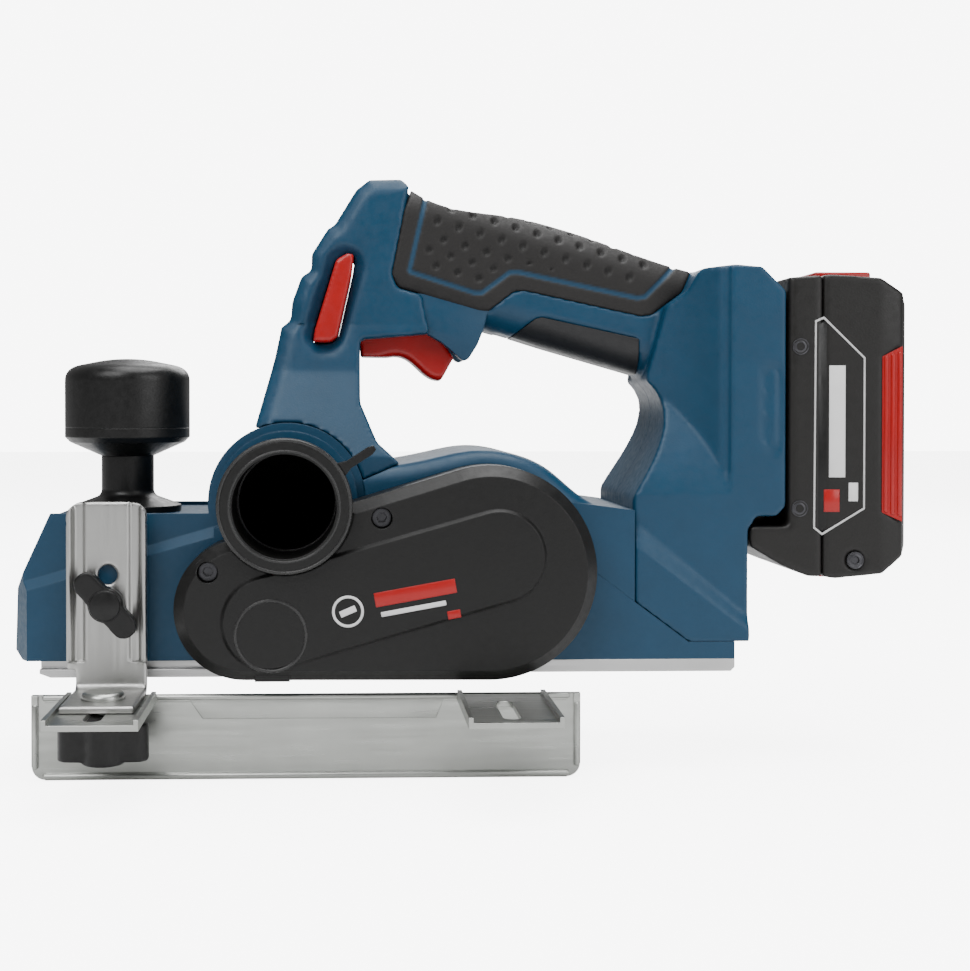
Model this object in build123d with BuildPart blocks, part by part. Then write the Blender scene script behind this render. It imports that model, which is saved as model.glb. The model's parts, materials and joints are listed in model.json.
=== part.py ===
from build123d import *

import os
from math import cos, radians, sin

# Cordless hand planer, in millimetres. X runs from the nose (-) to the heel (+), Z is up, and -Y is the
# user's left, which is the belt side. The origin is the middle of the rear sole's flat face.

# ------------------------------------------------------------------ driving sizes
CUT_WIDTH = 82.0            # planing width: both shoes are this wide
REAR_SOLE_LENGTH = 163.2    # rear shoe, nose to heel
CUT_RADIUS = 20.0           # circle that the blade edges run on
BELT_CENTRES = (82.5, 25.0) # drum axis to motor axis, along X and Z
HANDLE_HALF = 18.0          # half the width of the grip
BATTERY_WIDTH = 75.0        # across the slide-on pack
DUST_BORE = 37.0            # hose socket in the dust port
FENCE_LENGTH = 199.9        # guide fence, along X
FENCE_DROP = 37.0           # how far the fence reaches below the sole

# ------------------------------------------------------------------ walls and clearances
WALL = 3.0
RUNNING_GAP = 0.05          # radial gap of a shaft that turns in its bore
SLIDE_GAP = 0.3             # between pieces that slide past each other
FREE_GAP = 1.0              # around pieces that must not touch
SCREW_GAP = 0.1             # radial gap round a screw's shank

# ------------------------------------------------------------------ places worked out from them
HALF = CUT_WIDTH / 2
HEEL_X = REAR_SOLE_LENGTH / 2
DRUM_X = -HEEL_X - 9.4
DRUM_Z = CUT_RADIUS
MOTOR_X = DRUM_X + BELT_CENTRES[0]
MOTOR_Z = DRUM_Z + BELT_CENTRES[1]
SHOE_TOP = 4.6
TOP_Z = 57.5                # flat top of the nose
UPPER_HALF = HALF - 3       # side above the styling ledge
SEAM_Z = 38.3               # joint between base and motor housing
HEEL_SEAM_Z = 11.0          # the same joint at the heel


def nose(dx, z):
    """A side-view point, measured from the drum axis."""
    return (DRUM_X + dx, z)


def heel(dx, z):
    """A side-view point, measured from the heel."""
    return (HEEL_X + dx, z)


def side_plane(y):
    """Side view plane at y: sketches on it are X by Z, and extrude towards -Y."""
    return Plane.XZ.offset(-y)


def side_prism(points, y_low, y_high, mode=Mode.ADD):
    """A side-view polygon carried from y_low to y_high."""
    with BuildSketch(side_plane(y_high)) as outline:
        with BuildLine():
            Polyline(*points, close=True)
        make_face()
    extrude(outline.sketch, amount=y_high - y_low, mode=mode)


def side_disc(centre, radius, y_low, y_high, mode=Mode.ADD):
    """A cylinder lying along Y."""
    with BuildSketch(side_plane(y_high)) as disc:
        with Locations(centre):
            Circle(radius)
    extrude(disc.sketch, amount=y_high - y_low, mode=mode)


def side_ring(centre, outer, inner, y_low, y_high):
    """A tube lying along Y."""
    with BuildSketch(side_plane(y_high)) as ring:
        with Locations(centre):
            Circle(outer)
            Circle(inner, mode=Mode.SUBTRACT)
    extrude(ring.sketch, amount=y_high - y_low)


def upright_disc(x, y, radius, z_low, z_high, mode=Mode.ADD):
    """A cylinder standing along Z."""
    with BuildSketch(Plane.XY.offset(z_low)) as disc:
        with Locations((x, y)):
            Circle(radius)
    extrude(disc.sketch, amount=z_high - z_low, mode=mode)


def block(x_low, x_high, y_low, y_high, z_low, z_high, mode=Mode.ADD):
    """A plain block between six planes."""
    with BuildSketch(Plane.XY.offset(z_low)) as base:
        with Locations(((x_low + x_high) / 2, (y_low + y_high) / 2)):
            Rectangle(x_high - x_low, y_high - y_low)
    extrude(base.sketch, amount=z_high - z_low, mode=mode)


def hull_prism(circles, y_low, y_high, mode=Mode.ADD):
    """The outline that a band round several side-view circles makes, carried along Y."""
    with BuildSketch(side_plane(y_high)) as outline:
        for centre, radius in circles:
            with Locations(centre):
                Circle(radius)
        make_hull()
    extrude(outline.sketch, amount=y_high - y_low, mode=mode)


def finish(part, name):
    """Label a finished piece and write it."""
    part.part.label = name
    export_step(part.part, f"parts/{name}.step")


os.makedirs("parts", exist_ok=True)

# ================================================================== shoes
MOUTH_REAR = -HEEL_X
REAR_MOUTH_BEVEL = 5.1
rear_sole_profile = [(MOUTH_REAR, 0), (HEEL_X, 0), (HEEL_X, SHOE_TOP),
                     (MOUTH_REAR + REAR_MOUTH_BEVEL, SHOE_TOP)]
SHOE_SCREW_R = 2.0
SHOE_SCREW_HEAD_R = 4.0
SHOE_SCREW_END = 9.5
shoe_screw_spots = [(x, y) for x in (MOUTH_REAR + 30, HEEL_X - 14) for y in (-(HALF - 9), HALF - 9)]

with BuildPart() as rear_shoe:
    side_prism(rear_sole_profile, -HALF, HALF)
    chamfer(rear_shoe.edges().filter_by(Axis.Y).group_by(Axis.X)[-1].sort_by(Axis.Z)[0], length=1.5)
    with Locations(Plane.XY.rotated((180, 0, 0))):
        with Locations(*[(x, -y) for x, y in shoe_screw_spots]):
            CounterSinkHole(radius=SHOE_SCREW_R + SCREW_GAP, counter_sink_radius=SHOE_SCREW_HEAD_R + SCREW_GAP)
finish(rear_shoe, "rear_shoe")

with BuildPart() as rear_shoe_screws:
    for x, y in shoe_screw_spots:
        upright_disc(x, y, SHOE_SCREW_R, 0.4, SHOE_SCREW_END)
        with BuildSketch(Plane.XY.offset(0.4)) as head:
            with Locations((x, y)):
                Circle(SHOE_SCREW_HEAD_R - 0.4)
        extrude(head.sketch, amount=1.6, taper=45)
finish(rear_shoe_screws, "rear_shoe_screws")

FRONT_LOW = -1.2            # parked height of the front shoe's face
FRONT_TRAVEL = 2.8          # parked to deepest cut, which is 1.6 above the rear sole
FRONT_PLATE = 3.0
FRONT_BLOCK_TOP = 7.0
SHOE_NOSE_X = DRUM_X - 85
SHOE_MOUTH_X = DRUM_X - 12
GUIDE_HALF = HALF - 3       # block under the nose that keeps the front shoe square
SKIRT_LOW = FRONT_LOW + FRONT_PLATE + FRONT_TRAVEL + SLIDE_GAP
POCKET_TOP = FRONT_BLOCK_TOP + FRONT_TRAVEL + 0.4
KNOB_X = DRUM_X - 58
BOSS_R = 9.5
NUT_R = 6.5
THREAD_R = 4.0
BOSS_TOP = 21.0
NUT_LOW = 10.0

with BuildPart() as front_shoe:
    side_prism([(SHOE_NOSE_X + 4, FRONT_LOW), (SHOE_MOUTH_X, FRONT_LOW),
                (SHOE_MOUTH_X - 3, FRONT_LOW + FRONT_PLATE), (SHOE_NOSE_X, FRONT_LOW + FRONT_PLATE),
                (SHOE_NOSE_X, FRONT_LOW + 1.5)], -HALF, HALF)
    block(SHOE_NOSE_X, SHOE_MOUTH_X - 7.5, -GUIDE_HALF, GUIDE_HALF, FRONT_LOW + FRONT_PLATE, FRONT_BLOCK_TOP)
    block(SHOE_NOSE_X + 6, SHOE_MOUTH_X - 14, -GUIDE_HALF + 4, GUIDE_HALF - 4,
          FRONT_LOW + FRONT_PLATE + 1.5, FRONT_BLOCK_TOP, mode=Mode.SUBTRACT)
    upright_disc(KNOB_X, 0, BOSS_R, FRONT_LOW + FRONT_PLATE, BOSS_TOP)
    upright_disc(KNOB_X, 0, NUT_R, 3.0, BOSS_TOP, mode=Mode.SUBTRACT)
    with BuildSketch(Plane.YZ.offset(SHOE_NOSE_X)) as vee:
        with BuildLine():
            Polyline((-2.0, FRONT_LOW), (2.0, FRONT_LOW), (0, FRONT_LOW + 2.0), close=True)
        make_face()
    extrude(vee.sketch, amount=SHOE_MOUTH_X - SHOE_NOSE_X, mode=Mode.SUBTRACT)
finish(front_shoe, "front_shoe")

with BuildPart() as shoe_nut:
    upright_disc(KNOB_X, 0, NUT_R, NUT_LOW, BOSS_TOP)
    upright_disc(KNOB_X, 0, THREAD_R + RUNNING_GAP, NUT_LOW, BOSS_TOP, mode=Mode.SUBTRACT)
finish(shoe_nut, "shoe_nut")

# ================================================================== depth knob
SPINDLE_R = 5.0
WEB_LOW = 30.0              # underside of the web that the spindle turns in
DIAL_LOW = TOP_Z + SLIDE_GAP
NECK_R = 10.2
NECK_TOP = 84.7
CUP_R = 24.3
KNOB_SEAM = 90.3
KNOB_TOP = 117.3
KNOB_SHOULDER = 108.5
DIAL_R = 20.9
SPINDLE_TOP = 100.0


def turned(points):
    """Revolve a half profile of (radius, height) corners about the knob's axis."""
    with BuildSketch(Plane.XZ) as half_profile:
        with BuildLine():
            Polyline(*[(KNOB_X + r, z) for r, z in points], close=True)
        make_face()
    revolve(half_profile.sketch, axis=Axis((KNOB_X, 0, 0), (0, 0, 1)))


with BuildPart() as depth_spindle:
    upright_disc(KNOB_X, 0, SPINDLE_R, WEB_LOW - 0.3, SPINDLE_TOP)
    upright_disc(KNOB_X, 0, 8.0, WEB_LOW - 3.3, WEB_LOW - 0.3)
    upright_disc(KNOB_X, 0, THREAD_R, 9.0, WEB_LOW - 3.3)
finish(depth_spindle, "depth_spindle")

with BuildPart() as depth_dial:
    turned([(SPINDLE_R, DIAL_LOW), (DIAL_R, DIAL_LOW), (DIAL_R, 60.0), (NECK_R, 64.0), (NECK_R, 79.3),
            (SPINDLE_R, 79.3)])
    fillet(depth_dial.edges().filter_by(GeomType.CIRCLE).group_by(Axis.Z)[-2], radius=3)
finish(depth_dial, "depth_dial")

with BuildPart() as knob_cup:
    turned([(SPINDLE_R, 79.3), (NECK_R, 79.3), (CUP_R - 2.0, NECK_TOP), (CUP_R, NECK_TOP + 2), (CUP_R, KNOB_SEAM),
            (SPINDLE_R, KNOB_SEAM)])
finish(knob_cup, "knob_cup")

with BuildPart() as knob_cap:
    with BuildSketch(Plane.XZ) as cap_profile:
        with BuildLine():
            Line((KNOB_X, SPINDLE_TOP), (KNOB_X + SPINDLE_R, SPINDLE_TOP))
            Line((KNOB_X + SPINDLE_R, SPINDLE_TOP), (KNOB_X + SPINDLE_R, KNOB_SEAM))
            Line((KNOB_X + SPINDLE_R, KNOB_SEAM), (KNOB_X + CUP_R, KNOB_SEAM))
            Line((KNOB_X + CUP_R, KNOB_SEAM), (KNOB_X + CUP_R, KNOB_SHOULDER))
            Spline((KNOB_X + CUP_R, KNOB_SHOULDER), (KNOB_X + CUP_R - 8, KNOB_TOP - 2.0), (KNOB_X, KNOB_TOP),
                   tangents=[(0, 1), (-1, 0)])
            Line((KNOB_X, KNOB_TOP), (KNOB_X, SPINDLE_TOP))
        make_face()
    revolve(cap_profile.sketch, axis=Axis((KNOB_X, 0, 0), (0, 0, 1)))
finish(knob_cap, "knob_cap")

# ================================================================== base housing
SLEEVE_IN_R = DUST_BORE / 2 - 0.7   # turning sleeve behind the hose socket's shoulder
SLEEVE_R = DUST_BORE / 2 + 1.0      # turning sleeve, outside
TUBE_IN_R = SLEEVE_R + RUNNING_GAP
TUBE_R = TUBE_IN_R + 1.2
DUST_X = DRUM_X + 5.8
DUST_Z = DRUM_Z + CUT_RADIUS + TUBE_R + 2.55
DUST_AT = (DUST_X, DUST_Z)
COLLAR_R = TUBE_R + 8.5
CHAMBER_R = CUT_RADIUS + 2.0
NEAR_WALL_Y = -HALF - 4.0           # outside of the wall between drum and belt
BEARING_R = 13.0
SHAFT_R = 4.5
BEARING_BOSS_R = BEARING_R + 2.5
BEARING_BOSS_Y = NEAR_WALL_Y - 6.0
PAD_Y = -HALF - 5.5                 # face that the guide bracket is screwed to
GUIDE_SCREW_AT = nose(-58.8, 27.2)
MOTOR_R = 25.0
MOTOR_ROOM_R = MOTOR_R + 2.0
MOTOR_BEARING_R = 11.0
MOTOR_SHAFT_R = 4.0
MOTOR_AT = (MOTOR_X, MOTOR_Z)
DRUM_AT = (DRUM_X, DRUM_Z)
FAR_BEARING_R = 9.5
COVER_A = (nose(-8.7, 25.9), 25.4)
COVER_B = ((MOTOR_X - 3.0, 38.8), 38.7)
BAND_RISE = 0.287                   # slope of the styling ledge along the nose
LEDGE_LOW_Z = 29.3
LEDGE_HIGH_Z = 33.0
INSERT_R = 5.0
WING_SCREW_R = 3.0
COVER_SCREW_R = 2.0
cover_screw_spots = [nose(40.4, 58.8), nose(-21.7, 39.6)]


def ledge(z_at_nose, dx):
    """A point on the nose ledge, dx ahead of the drum axis."""
    return nose(dx, z_at_nose + BAND_RISE * (dx + 95))


def nose_outline(top_points):
    """The nose in side view under the given upper edge, front to rear."""
    return [nose(-95.5, SKIRT_LOW + 3), *top_points, nose(-10, SKIRT_LOW), nose(-92, SKIRT_LOW)]


with BuildPart() as nose_form:
    lower = nose_outline([ledge(LEDGE_LOW_Z, -94.5), ledge(LEDGE_LOW_Z, -10)])
    upper = nose_outline([ledge(LEDGE_HIGH_Z, -93.5), ledge(LEDGE_HIGH_Z, -10)])
    side_prism(nose_outline([nose(-94.5, 31), nose(-81.6, TOP_Z + 1.5), nose(-10, TOP_Z + 1.5)]),
               -UPPER_HALF, UPPER_HALF)
    for side in (-1, 1):
        with BuildSketch(side_plane(side * UPPER_HALF)):
            with BuildLine():
                Polyline(*upper, close=True)
            make_face()
        with BuildSketch(side_plane(side * HALF)):
            with BuildLine():
                Polyline(*lower, close=True)
            make_face()
        loft(ruled=True)
    block(DRUM_X - 100, DRUM_X - 10, -UPPER_HALF + 2.5, UPPER_HALF - 2.5, TOP_Z, TOP_Z + 9, mode=Mode.SUBTRACT)
    with BuildSketch(Plane.XY) as plan:
        with BuildLine():
            Polyline((DRUM_X, HALF + 9), (DRUM_X - 84, HALF + 9), (DRUM_X - 97, HALF - 12),
                     (DRUM_X - 97, -HALF + 12), (DRUM_X - 84, -HALF - 9), (DRUM_X, -HALF - 9), close=True)
        make_face()
    extrude(plan.sketch, amount=90, mode=Mode.INTERSECT)

BASE_LEFT_END = DRUM_X - 21
with BuildPart() as base_housing:
    add(nose_form.part)
    side_prism([(BASE_LEFT_END, SHOE_TOP), (BASE_LEFT_END, 54), nose(31, 54), nose(31, SEAM_Z),
                (MOTOR_X + 36, SEAM_Z), heel(-17.3, HEEL_SEAM_Z), heel(0, HEEL_SEAM_Z), heel(0, SHOE_TOP)],
               -HALF, HALF)
    side_disc(DUST_AT, COLLAR_R, -UPPER_HALF, UPPER_HALF)
    side_disc(DUST_AT, COLLAR_R - 3, -HALF, HALF)
    # wall and bearing boss on the belt side
    hull_prism([(COVER_A[0], COVER_A[1] - 4), (COVER_B[0], 12)], NEAR_WALL_Y, -HALF)
    side_disc(DRUM_AT, BEARING_BOSS_R, BEARING_BOSS_Y, -HALF)
    side_prism([(BASE_LEFT_END, SHOE_TOP - 2), (BASE_LEFT_END, 0), (HEEL_X, 0), (HEEL_X, SHOE_TOP)],
               -HALF - 20, HALF + 20, mode=Mode.SUBTRACT)
    # pad for the guide bracket, either side
    for y_low, y_high in ((PAD_Y, -UPPER_HALF), (UPPER_HALF, -PAD_Y)):
        block(KNOB_X - 11, KNOB_X + 9.5, y_low, y_high, 12, 46)
    # drum chamber, chip channel and dust tube bore
    side_disc(DRUM_AT, CHAMBER_R, -HALF, HALF, mode=Mode.SUBTRACT)
    block(DRUM_X - 13, DRUM_X + 13, -HALF, HALF, SHOE_TOP - 6, DRUM_Z, mode=Mode.SUBTRACT)
    block(DRUM_X - 8, DRUM_X + 16, -HALF + 12, HALF - 12, DRUM_Z, DUST_Z, mode=Mode.SUBTRACT)
    side_disc(DUST_AT, TUBE_R, NEAR_WALL_Y, HALF, mode=Mode.SUBTRACT)
    side_disc(DRUM_AT, BEARING_R, BEARING_BOSS_Y, -HALF, mode=Mode.SUBTRACT)
    # nose: pocket for the front shoe, hollow above it, and the spindle's column
    block(SHOE_NOSE_X - 1, SHOE_MOUTH_X - 6.5, -GUIDE_HALF - SLIDE_GAP, GUIDE_HALF + SLIDE_GAP,
          SKIRT_LOW - 6, POCKET_TOP, mode=Mode.SUBTRACT)
    block(DRUM_X - 89, DRUM_X - 27, -UPPER_HALF + WALL, UPPER_HALF - WALL, POCKET_TOP, 38, mode=Mode.SUBTRACT)
    block(DRUM_X - 80, DRUM_X - 27, -UPPER_HALF + WALL, UPPER_HALF - WALL, POCKET_TOP, TOP_Z - WALL,
          mode=Mode.SUBTRACT)
    upright_disc(KNOB_X, 0, BOSS_R + 5, WEB_LOW, TOP_Z - WALL)
    upright_disc(KNOB_X, 0, SPINDLE_R + RUNNING_GAP, WEB_LOW - 2, TOP_Z + 2, mode=Mode.SUBTRACT)
    # motor trough, bearing seats and hollow heel
    side_disc(MOTOR_AT, MOTOR_ROOM_R, -HALF + 9, HALF - 10, mode=Mode.SUBTRACT)
    side_disc(MOTOR_AT, MOTOR_BEARING_R, -HALF, HALF - WALL, mode=Mode.SUBTRACT)
    side_disc(MOTOR_AT, MOTOR_BEARING_R, NEAR_WALL_Y, -HALF, mode=Mode.SUBTRACT)
    for x, y in shoe_screw_spots:
        upright_disc(x, y, SHOE_SCREW_R + SCREW_GAP, SHOE_TOP, SHOE_SCREW_END + 1, mode=Mode.SUBTRACT)
    for side in (-1, 1):
        inner, outer = sorted((side * (UPPER_HALF - 8), -side * PAD_Y))
        side_disc(GUIDE_SCREW_AT, INSERT_R, inner, outer, mode=Mode.SUBTRACT)
    for centre in cover_screw_spots:
        side_disc(centre, COVER_SCREW_R + SCREW_GAP, NEAR_WALL_Y, -HALF + 9, mode=Mode.SUBTRACT)
finish(base_housing, "base_housing")

with BuildPart() as guide_inserts:
    side_ring(GUIDE_SCREW_AT, INSERT_R, WING_SCREW_R + RUNNING_GAP, PAD_Y, PAD_Y + 12)
    side_ring(GUIDE_SCREW_AT, INSERT_R, WING_SCREW_R + RUNNING_GAP, -PAD_Y - 12, -PAD_Y)
finish(guide_inserts, "guide_inserts")

# ================================================================== motor housing
hump_top = [nose(48, 77.3), (MOTOR_X - 3, 82.5), (MOTOR_X + 19.5, 76), (MOTOR_X + 39, 61.8)]
HANDLE_SEAM_X = HEEL_X - 37.5
seam_share = (HANDLE_SEAM_X - MOTOR_X - 36) / (HEEL_X - 17.3 - MOTOR_X - 36)
seam_foot = (HANDLE_SEAM_X, SEAM_Z + seam_share * (HEEL_SEAM_Z - SEAM_Z))

with BuildPart() as motor_housing:
    with BuildSketch(side_plane(HALF)) as hump:
        with BuildLine():
            Polyline((HANDLE_SEAM_X, 60), hump_top[3])
            Spline(*reversed(hump_top), tangents=[(-1, 0.4), (-1, -0.15)])
            Polyline(hump_top[0], nose(31, 70), nose(31, SEAM_Z), (MOTOR_X + 36, SEAM_Z),
                     seam_foot, (HANDLE_SEAM_X, 60))
        make_face()
    extrude(hump.sketch, amount=2 * HALF)
    fillet(motor_housing.edges().filter_by(GeomType.BSPLINE), radius=6)
    side_disc(DUST_AT, COLLAR_R + 0.001, -HALF, HALF, mode=Mode.SUBTRACT)
    side_disc(MOTOR_AT, MOTOR_ROOM_R, -HALF + 9, HALF - 10, mode=Mode.SUBTRACT)
    side_disc(MOTOR_AT, MOTOR_BEARING_R, -HALF, HALF - WALL, mode=Mode.SUBTRACT)
    block(MOTOR_X, HANDLE_SEAM_X - WALL, -HALF + WALL, HALF - WALL, 38.3, 56, mode=Mode.SUBTRACT)
    for centre in cover_screw_spots:
        side_disc(centre, COVER_SCREW_R + SCREW_GAP, -HALF, -HALF + 9, mode=Mode.SUBTRACT)
finish(motor_housing, "motor_housing")

# ================================================================== D handle
BAR_AXIS_AT = (10.0, 147.0)
BAR_TILT = 16.1
GRIP_SKIN = 2.2             # thickness of the soft overmould
bar_top = [nose(53, 182.4), nose(69.6, 175), nose(89.1, 172.7), nose(112.4, 168), heel(-36.8, 159.4),
           heel(-13.4, 151.7), heel(0.5, 149.0)]
bar_bottom = [heel(0.5, 100), heel(-31, 109.6), nose(90.6, 126.3), nose(86.7, 127.4), nose(75.5, 117.3),
              nose(70.6, 117.4), nose(58.1, 126.5), nose(48.3, 130), nose(40.5, 129.2), nose(34, 124)]
leg_front = [nose(-8.3, 84), nose(0.5, 117), nose(3.0, 129), nose(6.6, 132), nose(7.1, 138.8), nose(10.7, 148.6),
             nose(14.6, 151), nose(14.6, 157.2), nose(20.8, 167), nose(23.5, 168.6), nose(31.7, 182),
             nose(36.7, 186), nose(49.3, 186.3)]
loop_floor = [nose(39.5, 85), nose(33.2, 100), nose(33.2, 124.3)]
MOUNT_HALF = BATTERY_WIDTH / 2 + 0.5
MOUNT_BACK = HEEL_X + 20.2
MOUNT_LOW = 57.4
MOUNT_TOP = 152.0
CHANNEL_HALF = 22.3
CHANNEL_DEPTH = 11.0
LIP_HALF = 19.0
trigger_room = [nose(31.5, 114), nose(31.5, 146), nose(77, 146), nose(77, 120), nose(70.8, 117.4), nose(70, 110)]
lock_slot = [nose(28.1, 156.4), nose(30.4, 156.1), nose(29.3, 149.1), nose(23.9, 125.2), nose(21.6, 123.7),
             nose(15.8, 123.7), nose(16.6, 127.9), nose(24.6, 154.1)]
band_region = [nose(53.4, 190), nose(45.3, 149.5), nose(47.6, 144.2), nose(79.2, 135.3), nose(82.7, 135.3),
               nose(92.5, 142.9), nose(97, 143.1), heel(-31.1, 133.5), heel(-26.7, 134), heel(-15.1, 142.4),
               heel(-10.6, 151), heel(-9, 190)]
panel_region = [nose(89.5, 120), nose(89.5, 123.3), nose(100.7, 132.2), nose(103.4, 132.9), heel(-31.8, 124.7),
                heel(-30.9, 100)]


def bar(inset):
    """The grip bar as one solid, drawn in all round by inset."""
    with BuildSketch(side_plane(HANDLE_HALF)) as outline:
        with BuildLine():
            Spline(*[(x, z - inset) for x, z in bar_top])
            Polyline((bar_top[-1][0], bar_top[-1][1] - inset), *[(x, z + inset) for x, z in bar_bottom],
                     (bar_top[0][0], bar_top[0][1] - inset))
        make_face()
    extrude(outline.sketch, amount=2 * HANDLE_HALF)
    across = Plane(origin=(BAR_AXIS_AT[0] + MOTOR_X + 8.5, 0, BAR_AXIS_AT[1]), x_dir=(0, 1, 0),
                   z_dir=(cos(radians(BAR_TILT)), 0, -sin(radians(BAR_TILT))))
    with BuildSketch(across) as section:
        RectangleRounded(2 * (HANDLE_HALF - inset), 2 * (23.4 - inset), 13 - inset)
    extrude(section.sketch, amount=REAR_SOLE_LENGTH, both=True, mode=Mode.INTERSECT)


with BuildPart() as bar_form:
    bar(0)

with BuildPart() as bar_core:
    bar(GRIP_SKIN)

with BuildPart() as leg_form:
    side_prism([*leg_front, nose(53, 182.4), nose(53, 160), nose(60, 126.5), loop_floor[2], loop_floor[1],
                loop_floor[0], nose(48, 77.3), nose(31, 70)], -UPPER_HALF, UPPER_HALF)
    with BuildSketch(Plane.YZ.offset(DRUM_X - 20)) as front_view:
        with BuildLine():
            Polyline((-UPPER_HALF, 60), (-UPPER_HALF, 80), (-22, 112), (-19, 130), (-17.5, 190),
                     (17.5, 190), (19, 130), (22, 112), (UPPER_HALF, 80), (UPPER_HALF, 60), close=True)
        make_face()
    extrude(front_view.sketch, amount=90, mode=Mode.INTERSECT)

def flare(plane, smooth_points, corner_points, amount):
    """A solid with a mirrored outline: a smooth run through smooth_points, then straight through corner_points."""
    with BuildSketch(plane) as outline:
        with BuildLine():
            for side in (1, -1):
                run = [(along, side * across) for along, across in smooth_points]
                Spline(*run)
                Polyline(run[-1], *[(along, side * across) for along, across in corner_points],
                         (corner_points[-1][0], 0))
            Line(smooth_points[0], (smooth_points[0][0], -smooth_points[0][1]))
        make_face()
    extrude(outline.sketch, amount=amount)


FLARE_HALF = MOUNT_HALF - 2
with BuildPart() as column_flare:
    flare(Plane.XY, [heel(-42, HANDLE_HALF + 1.5), heel(-26, HANDLE_HALF + 4), heel(-13, FLARE_HALF - 7),
                     heel(-4, FLARE_HALF)],
          [heel(-1, FLARE_HALF), heel(-1, MOUNT_HALF), (MOUNT_BACK, MOUNT_HALF)], 200)
    # the same flare downwards, to the full width of the tail
    flare(Plane(origin=(HANDLE_SEAM_X, 0, 0), x_dir=(0, 0, -1), z_dir=(1, 0, 0)),
          [(-132, HANDLE_HALF), (-104, HANDLE_HALF + 4), (-82, UPPER_HALF - 5), (-66, UPPER_HALF)],
          [(-50, UPPER_HALF)], MOUNT_BACK - CHANNEL_DEPTH - HANDLE_SEAM_X - 8)

with BuildPart() as column_form:
    with BuildSketch(side_plane(MOUNT_HALF)) as column_side:
        with BuildLine():
            Polyline((HANDLE_SEAM_X, 50), (HANDLE_SEAM_X, 64.5))
            Spline((HANDLE_SEAM_X, 64.5), heel(-27.7, 81.6), heel(-23.8, 99), heel(-29.6, 108.7))
            Polyline(heel(-29.6, 108.7), heel(-21, 142), heel(-9.5, 151.0), heel(1.2, MOUNT_TOP),
                     heel(11.3, MOUNT_TOP - 1), (MOUNT_BACK, MOUNT_TOP - 10), (MOUNT_BACK, MOUNT_LOW + 4),
                     (MOUNT_BACK - 3.3, MOUNT_LOW), heel(9, MOUNT_LOW), heel(5.9, 52.5), heel(5.9, 50),
                     (HANDLE_SEAM_X, 50))
        make_face()
    extrude(column_side.sketch, amount=2 * MOUNT_HALF)
    add(column_flare.part, mode=Mode.INTERSECT)

tail_low = [seam_foot, heel(-17.3, HEEL_SEAM_Z), heel(5.9, HEEL_SEAM_Z)]
with BuildPart() as tail_form:
    side_prism([*tail_low, heel(5.9, 64), (HANDLE_SEAM_X, 64)], -UPPER_HALF, UPPER_HALF)
    for side in (-1, 1):
        with BuildSketch(side_plane(side * UPPER_HALF)):
            with BuildLine():
                Polyline(*tail_low, heel(5.9, 20.0), heel(0.4, 24.6), heel(-37.3, 56.2), (HANDLE_SEAM_X, 56.4),
                         close=True)
            make_face()
        with BuildSketch(side_plane(side * HALF)):
            with BuildLine():
                Polyline(*tail_low, heel(5.9, 15.0), heel(-0.5, 19.2), heel(-37.3, 47.0), (HANDLE_SEAM_X, 47.2),
                         close=True)
            make_face()
        loft(ruled=True)

handle_screw_spots = [nose(10, 108), nose(44, 176), heel(-12, 118), heel(-29.5, 38)]
TRIGGER_PIVOT = nose(37.0, 131.5)
PIN_R = 1.5
PIN_HALF = 12.0
SPRING_X = DRUM_X + 58
SPRING_R = 3.0
HANDLE_SCREW_R = 1.8
HANDLE_HEAD_R = 3.4
switch_box = (nose(45, 0)[0], nose(88, 0)[0], 147.5, 163.0)
board_box = (HEEL_X - 24, HEEL_X - 3, 24.0, 52.0)
terminal_box = (HEEL_X + 1, MOUNT_BACK - CHANNEL_DEPTH, 84.0, 132.0)

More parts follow.
